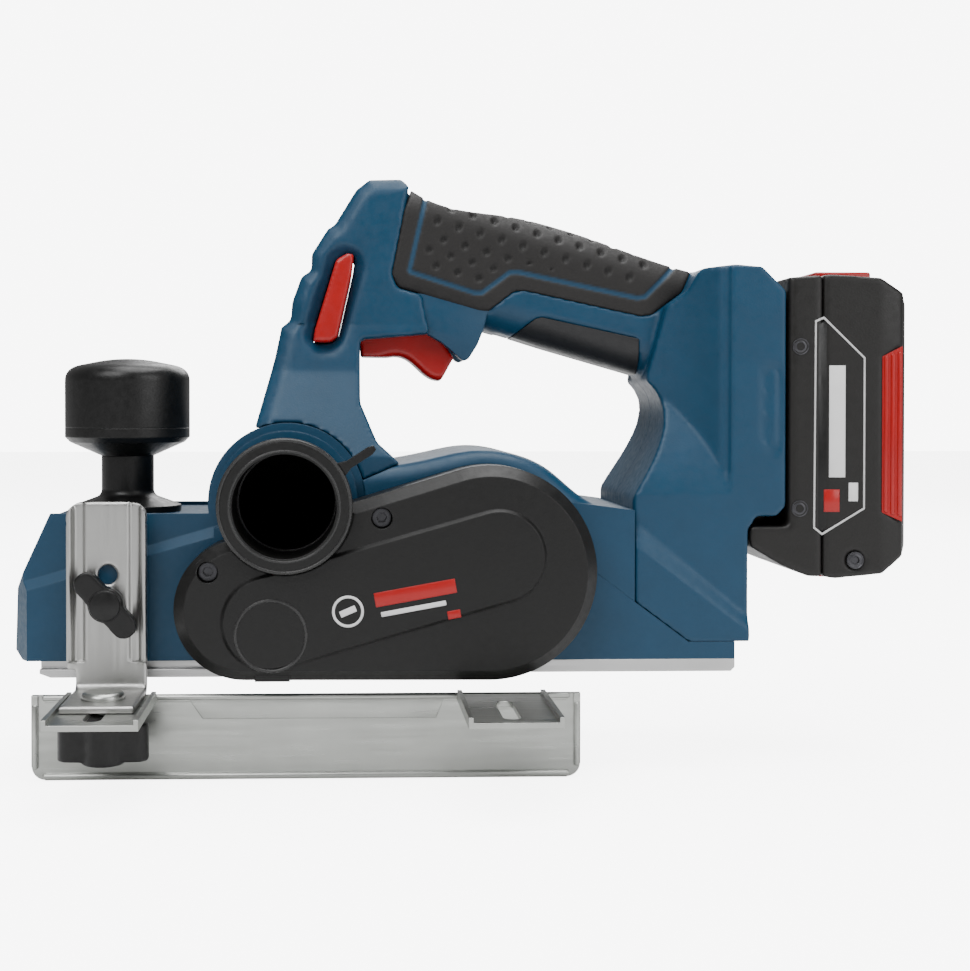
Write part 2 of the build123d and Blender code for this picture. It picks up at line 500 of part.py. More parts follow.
with BuildPart() as handle_form:
    add(bar_form.part)
    add(leg_form.part)
    add(column_form.part)
    side_prism(band_region, -HALF, HALF, mode=Mode.SUBTRACT)
    side_prism(panel_region, -HALF, HALF, mode=Mode.SUBTRACT)
    add(bar_core.part)
    add(tail_form.part)
    side_disc(DUST_AT, COLLAR_R, -HALF, HALF, mode=Mode.SUBTRACT)
    # trigger slot with its pin and spring, lock-off slot
    side_disc(TRIGGER_PIVOT, PIN_R, -PIN_HALF, PIN_HALF, mode=Mode.SUBTRACT)
    upright_disc(SPRING_X, 0, SPRING_R + 0.5, 140, switch_box[2], mode=Mode.SUBTRACT)
    side_prism(trigger_room, -9.0, 9.0, mode=Mode.SUBTRACT)
    with BuildSketch(side_plane(HALF)) as slot:
        with BuildLine():
            Polyline(*lock_slot, close=True)
        make_face()
        offset(amount=FREE_GAP)
    extrude(slot.sketch, amount=2 * HALF, mode=Mode.SUBTRACT)
    # hollows for the switch, the wires, the board and the terminals
    block(switch_box[0] - 0.5, switch_box[1] + 0.5, -9.5, 9.5, switch_box[2] - 0.5, switch_box[3] + 0.5,
          mode=Mode.SUBTRACT)
    side_prism([nose(80, 150), nose(80, 160), heel(-14, 140), heel(-14, 126)], -8, 8, mode=Mode.SUBTRACT)
    side_prism([heel(-18, 70), heel(-18, 138), heel(-4, 138), heel(-4, 70)], -17, 17, mode=Mode.SUBTRACT)
    side_prism([heel(-34, 30), heel(-34, 55), heel(-20, 72), heel(0, 72), heel(0, 16), heel(-18, 16)],
               -UPPER_HALF + WALL, UPPER_HALF - WALL, mode=Mode.SUBTRACT)
    block(terminal_box[0] - 8, terminal_box[1], -16, 16, terminal_box[2] - 0.5, terminal_box[3] + 0.5,
          mode=Mode.SUBTRACT)
    # battery channel, open at its foot, with lips that hold the pack's rails
    block(MOUNT_BACK - CHANNEL_DEPTH, MOUNT_BACK - WALL, -CHANNEL_HALF, CHANNEL_HALF, MOUNT_LOW - 9,
          MOUNT_TOP - 12.5, mode=Mode.SUBTRACT)
    block(MOUNT_BACK - WALL, MOUNT_BACK + 1, -LIP_HALF, LIP_HALF, MOUNT_LOW - 9, MOUNT_TOP - 12.5,
          mode=Mode.SUBTRACT)


def handle_half(side):
    """One clamshell half of the D handle: side is -1 for the left half."""
    add(handle_form.part)
    keep_low, keep_high = sorted((0, side * 2 * HALF))
    block(-REAR_SOLE_LENGTH, REAR_SOLE_LENGTH, keep_low, keep_high, 0, 250, mode=Mode.INTERSECT)
    for centre in handle_screw_spots:
        side_disc(centre, HANDLE_SCREW_R + SCREW_GAP, -12, HALF + 10, mode=Mode.SUBTRACT)
        side_disc(centre, HANDLE_HEAD_R + SCREW_GAP, 13, HALF + 10, mode=Mode.SUBTRACT)


with BuildPart() as handle_shell_left:
    handle_half(-1)
finish(handle_shell_left, "handle_shell_left")

with BuildPart() as handle_shell_right:
    handle_half(1)
finish(handle_shell_right, "handle_shell_right")

with BuildPart() as handle_screws:
    for centre in handle_screw_spots:
        side_disc(centre, HANDLE_SCREW_R, -11, 13)
        side_disc(centre, HANDLE_HEAD_R, 13, 15.5)
finish(handle_screws, "handle_screws")


def grip_piece(region, side):
    """The soft skin of the bar inside a side-view region, on one side."""
    add(bar_form.part)
    side_prism(region, *sorted((0, side * (HANDLE_HALF + 2))), mode=Mode.INTERSECT)
    add(bar_core.part, mode=Mode.SUBTRACT)


for side, side_name in ((-1, "left"), (1, "right")):
    with BuildPart() as grip:
        grip_piece(band_region, side)
    finish(grip, f"grip_{side_name}")
    with BuildPart() as grip_panel:
        grip_piece(panel_region, side)
    finish(grip_panel, f"grip_panel_{side_name}")

# ================================================================== belt drive
COVER_FACE_Y = -HALF - 21.0
COVER_WALL = 2.2
COVER_BEVEL = 4.0
PLATEAU = 1.2
PORT_R = 24.2               # ring round the mouth of the dust port
PORT_FACE_Y = COVER_FACE_Y - 5.5
PORT_BACK_Y = COVER_FACE_Y + 0.2
DRUM_PULLEY_R = 11.0
MOTOR_PULLEY_R = 17.0
BELT_THICK = 2.4
BELT_Y = (COVER_FACE_Y + 3.6, COVER_FACE_Y + 9.6)

with BuildPart() as belt_cover:
    hull_prism([COVER_A, COVER_B], COVER_FACE_Y, -HALF)
    chamfer(belt_cover.faces().sort_by(Axis.Y)[0].edges(), length=COVER_BEVEL)
    hull_prism([(nose(0, 21.4), 17.1), ((MOTOR_X, MOTOR_Z), 17.0)], COVER_FACE_Y - PLATEAU, COVER_FACE_Y)
    chamfer(belt_cover.faces().sort_by(Axis.Y)[0].edges(), length=PLATEAU - 0.1)
    hull_prism([(COVER_A[0], COVER_A[1] - COVER_WALL), (COVER_B[0], COVER_B[1] - COVER_WALL)],
               COVER_FACE_Y + COVER_BEVEL, -HALF, mode=Mode.SUBTRACT)
    hull_prism([(COVER_A[0], COVER_A[1] - COVER_BEVEL - 1), (COVER_B[0], COVER_B[1] - COVER_BEVEL - 1)],
               COVER_FACE_Y + COVER_WALL, -HALF, mode=Mode.SUBTRACT)
    for centre in cover_screw_spots:
        side_disc(centre, 5.2, COVER_FACE_Y + COVER_WALL, -HALF - 4.2)
        side_disc(centre, COVER_SCREW_R + SCREW_GAP, COVER_FACE_Y - 2, -HALF, mode=Mode.SUBTRACT)
        side_disc(centre, 3.8, COVER_FACE_Y - 2, COVER_FACE_Y + 5, mode=Mode.SUBTRACT)
    side_disc(DUST_AT, TUBE_R + 2.4, COVER_FACE_Y + 1, NEAR_WALL_Y - 0.1)
    side_disc(DUST_AT, TUBE_R + 0.6, COVER_FACE_Y - 3, -HALF, mode=Mode.SUBTRACT)
    side_disc(DUST_AT, PORT_R + 0.6, COVER_FACE_Y - 3, PORT_BACK_Y + SLIDE_GAP, mode=Mode.SUBTRACT)
    # nub under the drum's end that takes knocks at sole level
    block(DRUM_X - 5, DRUM_X + 7.5, COVER_FACE_Y + 2, COVER_FACE_Y + 8, 0.2, 2.6)
finish(belt_cover, "belt_cover")

with BuildPart() as belt_cover_screws:
    for centre in cover_screw_spots:
        side_disc(centre, COVER_SCREW_R, COVER_FACE_Y + 5, -HALF + 8)
        side_disc(centre, 3.4, COVER_FACE_Y + 2.8, COVER_FACE_Y + 5)
        with BuildSketch(side_plane(COVER_FACE_Y + 2.8)) as hex_socket:
            with Locations(centre):
                RegularPolygon(1.9, 6)
        extrude(hex_socket.sketch, amount=-1.4, mode=Mode.SUBTRACT)
finish(belt_cover_screws, "belt_cover_screws")

with BuildPart() as drive_belt:
    hull_prism([(DRUM_AT, DRUM_PULLEY_R + BELT_THICK), (MOTOR_AT, MOTOR_PULLEY_R + BELT_THICK)], *BELT_Y)
    hull_prism([(DRUM_AT, DRUM_PULLEY_R + 0.3), (MOTOR_AT, MOTOR_PULLEY_R + 0.3)], *BELT_Y, mode=Mode.SUBTRACT)
finish(drive_belt, "drive_belt")


def pulley(centre, radius, bore):
    """A ribbed belt pulley with a flange on each side."""
    low, high = BELT_Y
    side_disc(centre, radius, low - 1.2, high + 1.6)
    for y in (low - 1.2, high + 0.4):
        side_disc(centre, radius + 1.4, y, y + 0.9)
    for rib in range(3):
        middle = low + 1.5 + rib * 1.6
        with BuildSketch(side_plane(middle + 0.35)) as groove:
            with Locations(centre):
                Circle(radius + 1)
                Circle(radius - 0.8, mode=Mode.SUBTRACT)
        extrude(groove.sketch, amount=0.7, mode=Mode.SUBTRACT)
    side_disc(centre, bore, low - 5, high + 5, mode=Mode.SUBTRACT)


with BuildPart() as drum_pulley:
    pulley(DRUM_AT, DRUM_PULLEY_R, SHAFT_R)
finish(drum_pulley, "drum_pulley")

with BuildPart() as motor_pulley:
    pulley(MOTOR_AT, MOTOR_PULLEY_R, MOTOR_SHAFT_R)
finish(motor_pulley, "motor_pulley")

# ================================================================== cutter
DRUM_HALF = HALF - 1.0
DRUM_R = CUT_RADIUS - 1.2
BLADE_THICK = 1.1
BLADE_SEAT = 10.0           # depth of a blade's seat below the edge circle
FAR_RECESS = 8.5
FAR_SHAFT_R = 3.5           # thinner end of the drum shaft

with BuildPart() as drum_shaft:
    side_disc(DRUM_AT, SHAFT_R, COVER_FACE_Y + 3.0, -DRUM_HALF)
    side_disc(DRUM_AT, FAR_SHAFT_R, DRUM_HALF - FAR_RECESS, DRUM_HALF - 0.5)
finish(drum_shaft, "drum_shaft")


def drum_slot(mode, x_low, x_high, z_low, z_high, y_half):
    """A block in the drum's upper half and its twin half a turn on."""
    for sign in (1, -1):
        xs = sorted((DRUM_X + sign * x_low, DRUM_X + sign * x_high))
        zs = sorted((DRUM_Z + sign * z_low, DRUM_Z + sign * z_high))
        block(*xs, -y_half, y_half, *zs, mode=mode)


CLAMP_X = (BLADE_THICK, 7.5)
SEAT_Z = CUT_RADIUS - BLADE_SEAT
with BuildPart() as cutter_drum:
    side_disc(DRUM_AT, DRUM_R, -DRUM_HALF, DRUM_HALF)
    drum_slot(Mode.SUBTRACT, 0, CLAMP_X[1], SEAT_Z, CUT_RADIUS + 2, HALF)
    drum_slot(Mode.SUBTRACT, -4.0, 0, CUT_RADIUS - 4.5, CUT_RADIUS + 2, HALF)
    side_disc(DRUM_AT, FAR_BEARING_R + 3.2, DRUM_HALF - FAR_RECESS, DRUM_HALF + 1, mode=Mode.SUBTRACT)
finish(cutter_drum, "cutter_drum")

BLADE_HALF = HALF - 0.5
with BuildPart() as planer_blades:
    drum_slot(Mode.ADD, 0, BLADE_THICK, SEAT_Z, (CUT_RADIUS ** 2 - BLADE_THICK ** 2) ** 0.5 - 0.02, BLADE_HALF)
    side_disc(DRUM_AT, FAR_BEARING_R + 3.2, DRUM_HALF - FAR_RECESS, DRUM_HALF + 1, mode=Mode.SUBTRACT)
finish(planer_blades, "planer_blades")

CLAMP_TOP = CUT_RADIUS - 3.4
with BuildPart() as blade_clamps:
    drum_slot(Mode.ADD, CLAMP_X[0], CLAMP_X[1], SEAT_Z, CLAMP_TOP, DRUM_HALF)
    for y in (-DRUM_HALF * 0.6, 0, DRUM_HALF * 0.6):
        for sign in (1, -1):
            xs = DRUM_X + sign * (CLAMP_X[0] + CLAMP_X[1]) / 2
            zs = sorted((DRUM_Z + sign * SEAT_Z, DRUM_Z + sign * (CUT_RADIUS + 1)))
            upright_disc(xs, y, 2.0, *zs, mode=Mode.SUBTRACT)
    side_disc(DRUM_AT, FAR_BEARING_R + 3.2, DRUM_HALF - FAR_RECESS, DRUM_HALF + 1, mode=Mode.SUBTRACT)
finish(blade_clamps, "blade_clamps")

with BuildPart() as clamp_screws:
    for y in (-DRUM_HALF * 0.6, 0, DRUM_HALF * 0.6):
        for sign in (1, -1):
            xs = DRUM_X + sign * (CLAMP_X[0] + CLAMP_X[1]) / 2
            zs = sorted((DRUM_Z + sign * SEAT_Z, DRUM_Z + sign * (CLAMP_TOP - 0.6)))
            upright_disc(xs, y, 1.9, *zs)
finish(clamp_screws, "clamp_screws")

with BuildPart() as drum_bearing_left:
    side_ring(DRUM_AT, BEARING_R, SHAFT_R + RUNNING_GAP, BEARING_BOSS_Y + 0.5, BEARING_BOSS_Y + 8.5)
finish(drum_bearing_left, "drum_bearing_left")

with BuildPart() as drum_bearing_right:
    side_ring(DRUM_AT, FAR_BEARING_R, FAR_SHAFT_R + RUNNING_GAP, DRUM_HALF - FAR_RECESS + 1, DRUM_HALF - 1)
finish(drum_bearing_right, "drum_bearing_right")

CAP_Y = (HALF + 0.4, HALF + 3.4)
CAP_EAR_R = 4.2
cap_ears = [nose(-CHAMBER_R - 4, DRUM_Z + 9), nose(CHAMBER_R + 4, DRUM_Z + 9)]
with BuildPart() as bearing_cap:
    hull_prism([(DRUM_AT, FAR_BEARING_R + 4), *[(ear, CAP_EAR_R) for ear in cap_ears]], *CAP_Y)
    side_ring(DRUM_AT, FAR_BEARING_R + 2.4, FAR_BEARING_R, DRUM_HALF - FAR_RECESS + 1, CAP_Y[0])
    for ear in cap_ears:
        side_disc(ear, CAP_EAR_R, HALF, CAP_Y[0])
finish(bearing_cap, "bearing_cap")

# ================================================================== motor
ROTOR_HALF = 17.0
CAN_HALF = 22.0
with BuildPart() as motor_can:
    side_ring(MOTOR_AT, MOTOR_R, MOTOR_R - 2.2, -CAN_HALF, CAN_HALF)
    for turn in (0, 180):
        with BuildSketch(side_plane(ROTOR_HALF)) as magnet:
            with Locations(MOTOR_AT):
                Circle(MOTOR_R - 2.2)
                Circle(MOTOR_R - 6.2, mode=Mode.SUBTRACT)
                Rectangle(2 * MOTOR_R, 14, mode=Mode.SUBTRACT)
        extrude(magnet.sketch, amount=2 * ROTOR_HALF)
finish(motor_can, "motor_can")

with BuildPart() as armature:
    with BuildSketch(side_plane(ROTOR_HALF)) as laminations:
        with Locations(MOTOR_AT):
            Circle(MOTOR_R - 7.0)
        with Locations(MOTOR_AT):
            with PolarLocations(MOTOR_R - 8.5, 12):
                Rectangle(4.5, 1.8, mode=Mode.SUBTRACT)
        with Locations(MOTOR_AT):
            Circle(MOTOR_SHAFT_R, mode=Mode.SUBTRACT)
    extrude(laminations.sketch, amount=2 * ROTOR_HALF)
    side_ring(MOTOR_AT, 13.5, MOTOR_SHAFT_R, -ROTOR_HALF - 5, -ROTOR_HALF)
    side_ring(MOTOR_AT, 13.5, MOTOR_SHAFT_R, ROTOR_HALF, ROTOR_HALF + 4)
finish(armature, "armature")

with BuildPart() as motor_shaft:
    side_disc(MOTOR_AT, MOTOR_SHAFT_R, COVER_FACE_Y + 3.0, HALF - 4)
finish(motor_shaft, "motor_shaft")

with BuildPart() as commutator:
    side_ring(MOTOR_AT, 9.0, MOTOR_SHAFT_R, ROTOR_HALF + 4, ROTOR_HALF + 12)
finish(commutator, "commutator")

FAN_LOW_Y = -CAN_HALF - 8.0
with BuildPart() as cooling_fan:
    side_disc(MOTOR_AT, MOTOR_R - 1, FAN_LOW_Y + 5, FAN_LOW_Y + 7)
    with BuildSketch(side_plane(FAN_LOW_Y + 5)) as fan_blades:
        with Locations(MOTOR_AT):
            Circle(8.0)
        with Locations(MOTOR_AT):
            with PolarLocations(15.0, 11):
                Rectangle(16, 1.4)
    extrude(fan_blades.sketch, amount=5)
    side_disc(MOTOR_AT, MOTOR_SHAFT_R, FAN_LOW_Y - 1, FAN_LOW_Y + 8, mode=Mode.SUBTRACT)
finish(cooling_fan, "cooling_fan")

with BuildPart() as motor_bearings:
    side_ring(MOTOR_AT, MOTOR_BEARING_R, MOTOR_SHAFT_R + RUNNING_GAP, -HALF + 0.5, -HALF + 7.5)
    side_ring(MOTOR_AT, MOTOR_BEARING_R, MOTOR_SHAFT_R + RUNNING_GAP, HALF - 10, HALF - WALL)
finish(motor_bearings, "motor_bearings")

with BuildPart() as brush_holders:
    for side in (-1, 1):
        with Locations((MOTOR_X + side * 17.5, ROTOR_HALF + 8, MOTOR_Z)):
            Box(16.6, 6, 8)
finish(brush_holders, "brush_holders")

# ================================================================== dust port
SOCKET_DEPTH = 30.0         # hose socket in the left end
FAR_SOCKET_DEPTH = 12.0
with BuildPart() as dust_tube:
    side_ring(DUST_AT, TUBE_R, TUBE_IN_R, COVER_FACE_Y + 1.5, HALF)
    side_ring(DUST_AT, PORT_R, DUST_BORE / 2, HALF, HALF + 8)
    side_ring(DUST_AT, TUBE_R, DUST_BORE / 2, HALF + 8 - FAR_SOCKET_DEPTH, HALF)
    block(DRUM_X - 7, DRUM_X + 15, -HALF + 13, HALF - 13, DUST_Z - 30, DUST_Z - 6, mode=Mode.SUBTRACT)
finish(dust_tube, "dust_tube")

SELECTOR_REST = 33.0        # lever's angle above the rearward direction
SLEEVE_END_Y = HALF + 8 - FAR_SOCKET_DEPTH - SLIDE_GAP
WINDOW_HALF = HALF - 12
window_edges = [(2 * SLEEVE_R * cos(radians(turn)), 2 * SLEEVE_R * sin(radians(turn))) for turn in (140, 215, 290)]
with BuildPart() as chip_deflector:
    side_ring(DUST_AT, SLEEVE_R, SLEEVE_IN_R, PORT_BACK_Y, SLEEVE_END_Y)
    side_ring(DUST_AT, PORT_R, DUST_BORE / 2, PORT_FACE_Y, PORT_BACK_Y)
    side_disc(DUST_AT, DUST_BORE / 2, PORT_FACE_Y, PORT_FACE_Y + SOCKET_DEPTH, mode=Mode.SUBTRACT)
    chamfer(chip_deflector.edges().filter_by(GeomType.CIRCLE).group_by(Axis.Y)[0].sort_by(SortBy.RADIUS)[-1],
            length=1.5)
    with BuildSketch(side_plane(WINDOW_HALF)) as window:
        with Locations(DUST_AT):
            with BuildLine():
                Line((0, 0), window_edges[0])
                ThreePointArc(*window_edges)
                Line(window_edges[2], (0, 0))
            make_face()
    extrude(window.sketch, amount=2 * WINDOW_HALF, mode=Mode.SUBTRACT)
    # slanted vane across the sleeve
    with BuildSketch(Plane.YZ.offset(DUST_X - SLEEVE_R)) as vane:
        with BuildLine():
            Polyline((-14, DUST_Z + SLEEVE_R), (-16.5, DUST_Z + SLEEVE_R), (16, DUST_Z - SLEEVE_R),
                     (18.5, DUST_Z - SLEEVE_R), close=True)
        make_face()
    with BuildSketch(side_plane(HALF)) as sleeve_bore:
        with Locations(DUST_AT):
            Circle(SLEEVE_IN_R + 0.4)
    add(extrude(vane.sketch, amount=2 * SLEEVE_R, mode=Mode.PRIVATE)
        & extrude(sleeve_bore.sketch, amount=2 * HALF, mode=Mode.PRIVATE))
finish(chip_deflector, "chip_deflector")

with BuildPart() as selector_lever:
    lever_dir = (cos(radians(SELECTOR_REST)), sin(radians(SELECTOR_REST)))
    lever_plane = Plane(origin=(DUST_X, PORT_FACE_Y + 4.5, DUST_Z), x_dir=(lever_dir[0], 0, lever_dir[1]),
                        z_dir=(0, -1, 0))
    with BuildSketch(lever_plane) as lever_side:
        with BuildLine():
            Polyline((PORT_R - 0.05, -2.6), (PORT_R - 0.05, 2.6), (PORT_R + 3, 1.5), (PORT_R + 12, 1.5),
                     (PORT_R + 14, 0.8), (PORT_R + 14, -0.8), (PORT_R + 12, -1.5), (PORT_R + 3, -1.5), close=True)
        make_face()
    extrude(lever_side.sketch, amount=4)
    side_disc(DUST_AT, PORT_R, PORT_FACE_Y - 5, PORT_FACE_Y + 10, mode=Mode.SUBTRACT)
finish(selector_lever, "selector_lever")

# ================================================================== controls in the handle
TRIGGER_HALF = 8.5
with BuildPart() as trigger:
    with BuildSketch(side_plane(TRIGGER_HALF)) as trigger_side:
        with BuildLine():
            Polyline(nose(44.5, 117.8), nose(33.8, 118.0), nose(33.0, 127), nose(34.0, 134.5), nose(40, 136),
                     nose(62, 136), nose(64, 127), nose(70.0, 117.6), nose(65.0, 108.6))
            Spline(nose(65.0, 108.6), nose(60.3, 109.8), nose(54.0, 115.2), nose(44.5, 117.8))
        make_face()
    extrude(trigger_side.sketch, amount=2 * TRIGGER_HALF)
    fillet(trigger.edges().filter_by(GeomType.BSPLINE), radius=2.5)
    side_disc(TRIGGER_PIVOT, PIN_R + RUNNING_GAP, -HALF, HALF, mode=Mode.SUBTRACT)
finish(trigger, "trigger")

with BuildPart() as trigger_pin:
    side_disc(TRIGGER_PIVOT, PIN_R, -PIN_HALF, PIN_HALF)
finish(trigger_pin, "trigger_pin")

with BuildPart() as trigger_spring:
    upright_disc(SPRING_X, 0, SPRING_R, 136.2, switch_box[2] - 0.2)
    upright_disc(SPRING_X, 0, SPRING_R - 1, 136.2, switch_box[2] - 0.2, mode=Mode.SUBTRACT)
finish(trigger_spring, "trigger_spring")

LOCK_HALF = 23.0
with BuildPart() as lock_off_bar:
    side_prism(lock_slot, -LOCK_HALF, LOCK_HALF)
    chamfer(lock_off_bar.faces().sort_by(Axis.Y)[0].edges(), length=0.8)
    chamfer(lock_off_bar.faces().sort_by(Axis.Y)[-1].edges(), length=0.8)
finish(lock_off_bar, "lock_off_bar")

with BuildPart() as switch_module:
    block(switch_box[0], switch_box[1], -9, 9, switch_box[2], switch_box[3])
    chamfer(switch_module.edges().filter_by(Axis.Y), length=1)
finish(switch_module, "switch_module")

with BuildPart() as control_board:
    block(board_box[0], board_box[1], -1.6, 0, board_box[2], board_box[3])
    block(board_box[0] + 3, board_box[0] + 15, 0, 9, board_box[2] + 4, board_box[2] + 18)
    side_disc((board_box[0] + 20, board_box[3] - 8), 4, 0, 12)
    for row in range(3):
        block(board_box[1] - 8, board_box[1] - 3, 0, 3.5, board_box[2] + 3 + 9 * row, board_box[2] + 9 + 9 * row)
finish(control_board, "control_board")

BLADE_ROWS = (-12.0, -4.0, 4.0, 12.0)
with BuildPart() as terminal_block:
    block(terminal_box[0] - 6, terminal_box[1], -15, 15, terminal_box[2], terminal_box[3])
finish(terminal_block, "terminal_block")

with BuildPart() as terminal_blades:
    for y in BLADE_ROWS:
        block(terminal_box[1], terminal_box[1] + 6, y - 0.5, y + 0.5, terminal_box[3] - 22, terminal_box[3] - 6)
finish(terminal_blades, "terminal_blades")

# ================================================================== guide bracket, fence and their screws
STRAP_THICK = 2.5
STRAP_HALF = 14.5
ARM_HALF = 12.9
ARM_LOW = -6.2
ARM_END_Y = PAD_Y - 37.5
STRAP_X = KNOB_X - 1.2
BOLT_AT = (KNOB_X + 0.4, PAD_Y - 22.2)
BOLT_R = 3.0
with BuildPart() as guide_bracket:
    with BuildSketch(Plane.YZ.offset(STRAP_X - STRAP_HALF)) as bent_strip:
        with BuildLine():
            strip = Polyline((PAD_Y, 64), (PAD_Y, ARM_LOW), (ARM_END_Y, ARM_LOW), (ARM_END_Y, ARM_LOW + STRAP_THICK),
                             (PAD_Y - STRAP_THICK, ARM_LOW + STRAP_THICK), (PAD_Y - STRAP_THICK, 64), close=True)
        make_face()
    extrude(bent_strip.sketch, amount=2 * STRAP_HALF)
    along = guide_bracket.edges().filter_by(Axis.X)
    fillet(along.sort_by(lambda edge: abs(edge.center().Y - PAD_Y) + abs(edge.center().Z - ARM_LOW))[0], radius=4.5)
    along = guide_bracket.edges().filter_by(Axis.X)
    inner_bend = along.sort_by(lambda edge: abs(edge.center().Y - PAD_Y + STRAP_THICK)
                               + abs(edge.center().Z - ARM_LOW - STRAP_THICK))[0]
    fillet(inner_bend, radius=2.0)
    for side in (-1, 1):
        edge_x = sorted((STRAP_X + side * STRAP_HALF, STRAP_X + side * (STRAP_HALF - 2.5)))
        block(*edge_x, PAD_Y - STRAP_THICK - 1.6, PAD_Y - STRAP_THICK, 6, 62)
    for x_low, x_high in ((STRAP_X - STRAP_HALF - 1, BOLT_AT[0] - ARM_HALF), (BOLT_AT[0] + ARM_HALF, STRAP_X + 20)):
        block(x_low, x_high, ARM_END_Y - 1, PAD_Y + 1, ARM_LOW - 1, 3, mode=Mode.SUBTRACT)
    side_disc(nose(-58.9, 37.5), 3.5, PAD_Y - 4, PAD_Y + 1, mode=Mode.SUBTRACT)
    side_disc(GUIDE_SCREW_AT, WING_SCREW_R + SCREW_GAP, PAD_Y - 4, PAD_Y + 1, mode=Mode.SUBTRACT)
    upright_disc(*BOLT_AT, BOLT_R + SCREW_GAP, ARM_LOW - 1, ARM_LOW + 4, mode=Mode.SUBTRACT)
finish(guide_bracket, "guide_bracket")

WING_HUB_R = 6.4
WING_TILT = -48.0           # rest angle of the wings above the rearward direction
strap_face_y = PAD_Y - STRAP_THICK


def wing_plane(origin, tilt):
    """A side-view plane turned by tilt about Y."""
    return Plane(origin=origin, x_dir=(cos(radians(tilt)), 0, sin(radians(tilt))), z_dir=(0, -1, 0))


with BuildPart() as guide_wing_screw:
    side_disc(GUIDE_SCREW_AT, WING_SCREW_R, strap_face_y - 0.1, PAD_Y + 11)
    side_disc(GUIDE_SCREW_AT, WING_HUB_R, strap_face_y - 7, strap_face_y - 0.1)
    with BuildSketch(wing_plane((GUIDE_SCREW_AT[0], strap_face_y - 2.5, GUIDE_SCREW_AT[1]), WING_TILT)) as wings:
        SlotOverall(29, 9)
    extrude(wings.sketch, amount=5.5)
finish(guide_wing_screw, "guide_wing_screw")

SHEET = 2.0
FENCE_TOP = ARM_LOW - 0.1
FENCE_X = (DRUM_X - 86.4, DRUM_X - 86.4 + FENCE_LENGTH)
FENCE_Y = PAD_Y - 1.5
TAB_END_Y = PAD_Y - 56.5
TAB_HALF = 16.0
SLOT_HALF = 3.1
FENCE_TRAVEL = 25.0
tab_spots = (BOLT_AT[0] + 0.6, BOLT_AT[0] + 141.7)
with BuildPart() as guide_fence:
    block(*FENCE_X, FENCE_Y - SHEET / 2, FENCE_Y + SHEET / 2, -FENCE_DROP, FENCE_TOP)
    fillet(guide_fence.edges().filter_by(Axis.Y).group_by(Axis.Z)[0], radius=5)
    for z_low, z_high in ((-FENCE_DROP, -FENCE_DROP + 2.4), (FENCE_TOP - 2.4, FENCE_TOP)):
        block(FENCE_X[0] + 5, FENCE_X[1] - 5, FENCE_Y - SHEET / 2 - 0.8, FENCE_Y + SHEET / 2, z_low, z_high)
    for x_low in (FENCE_X[0], FENCE_X[1] - 2.4):
        block(x_low, x_low + 2.4, FENCE_Y - SHEET / 2 - 0.8, FENCE_Y + SHEET / 2, -FENCE_DROP + 5, FENCE_TOP)
    for x in tab_spots:
        block(x - TAB_HALF, x + TAB_HALF, TAB_END_Y, FENCE_Y, FENCE_TOP - SHEET, FENCE_TOP)
        for side in (-1, 1):
            edge_x = sorted((x + side * TAB_HALF, x + side * (TAB_HALF - 1.6)))
            block(*edge_x, TAB_END_Y, FENCE_Y - 4, FENCE_TOP, FENCE_TOP + 1.8)
        with BuildSketch(Plane.XY.offset(FENCE_TOP + 1)) as slot:
            with Locations((x - 0.6, (BOLT_AT[1] + 1.0 + BOLT_AT[1] - FENCE_TRAVEL) / 2)):
                SlotCenterToCenter(FENCE_TRAVEL + 1.0, 2 * SLOT_HALF, rotation=90)
        extrude(slot.sketch, amount=-6, mode=Mode.SUBTRACT)
finish(guide_fence, "guide_fence")

HEAD_LOW = ARM_LOW + STRAP_THICK
with BuildPart() as fence_bolt:
    upright_disc(*BOLT_AT, 7.75, HEAD_LOW, HEAD_LOW + 2.6)
    fillet(fence_bolt.edges().filter_by(GeomType.CIRCLE).sort_by(Axis.Z)[-1], radius=2.0)
    upright_disc(*BOLT_AT, BOLT_R, -24, HEAD_LOW)
finish(fence_bolt, "fence_bolt")

with BuildPart() as fence_clamp_knob:
    upright_disc(*BOLT_AT, 7.35, -26.7, FENCE_TOP - SHEET - 0.2)
    with BuildSketch(Plane.XY.offset(-25.5)) as wings:
        with Locations(BOLT_AT):
            SlotOverall(32, 9)
    extrude(wings.sketch, amount=13)
    upright_disc(*BOLT_AT, BOLT_R + RUNNING_GAP, -24.2, -5, mode=Mode.SUBTRACT)
finish(fence_clamp_knob, "fence_clamp_knob")

# ================================================================== battery
PACK_HALF = BATTERY_WIDTH / 2
PACK_X = MOUNT_BACK + 0.9
PACK_SPLIT = PACK_X + 13.2
PACK_END = PACK_X + 46.3
PACK_TOP = 147.0
PACK_LOW = 33.9


def pack_cell_room(mode):
    block(PACK_X + 3.0, PACK_END - 3.0, -PACK_HALF + 3.5, PACK_HALF - 3.5, 43.0, 141.0, mode=mode)


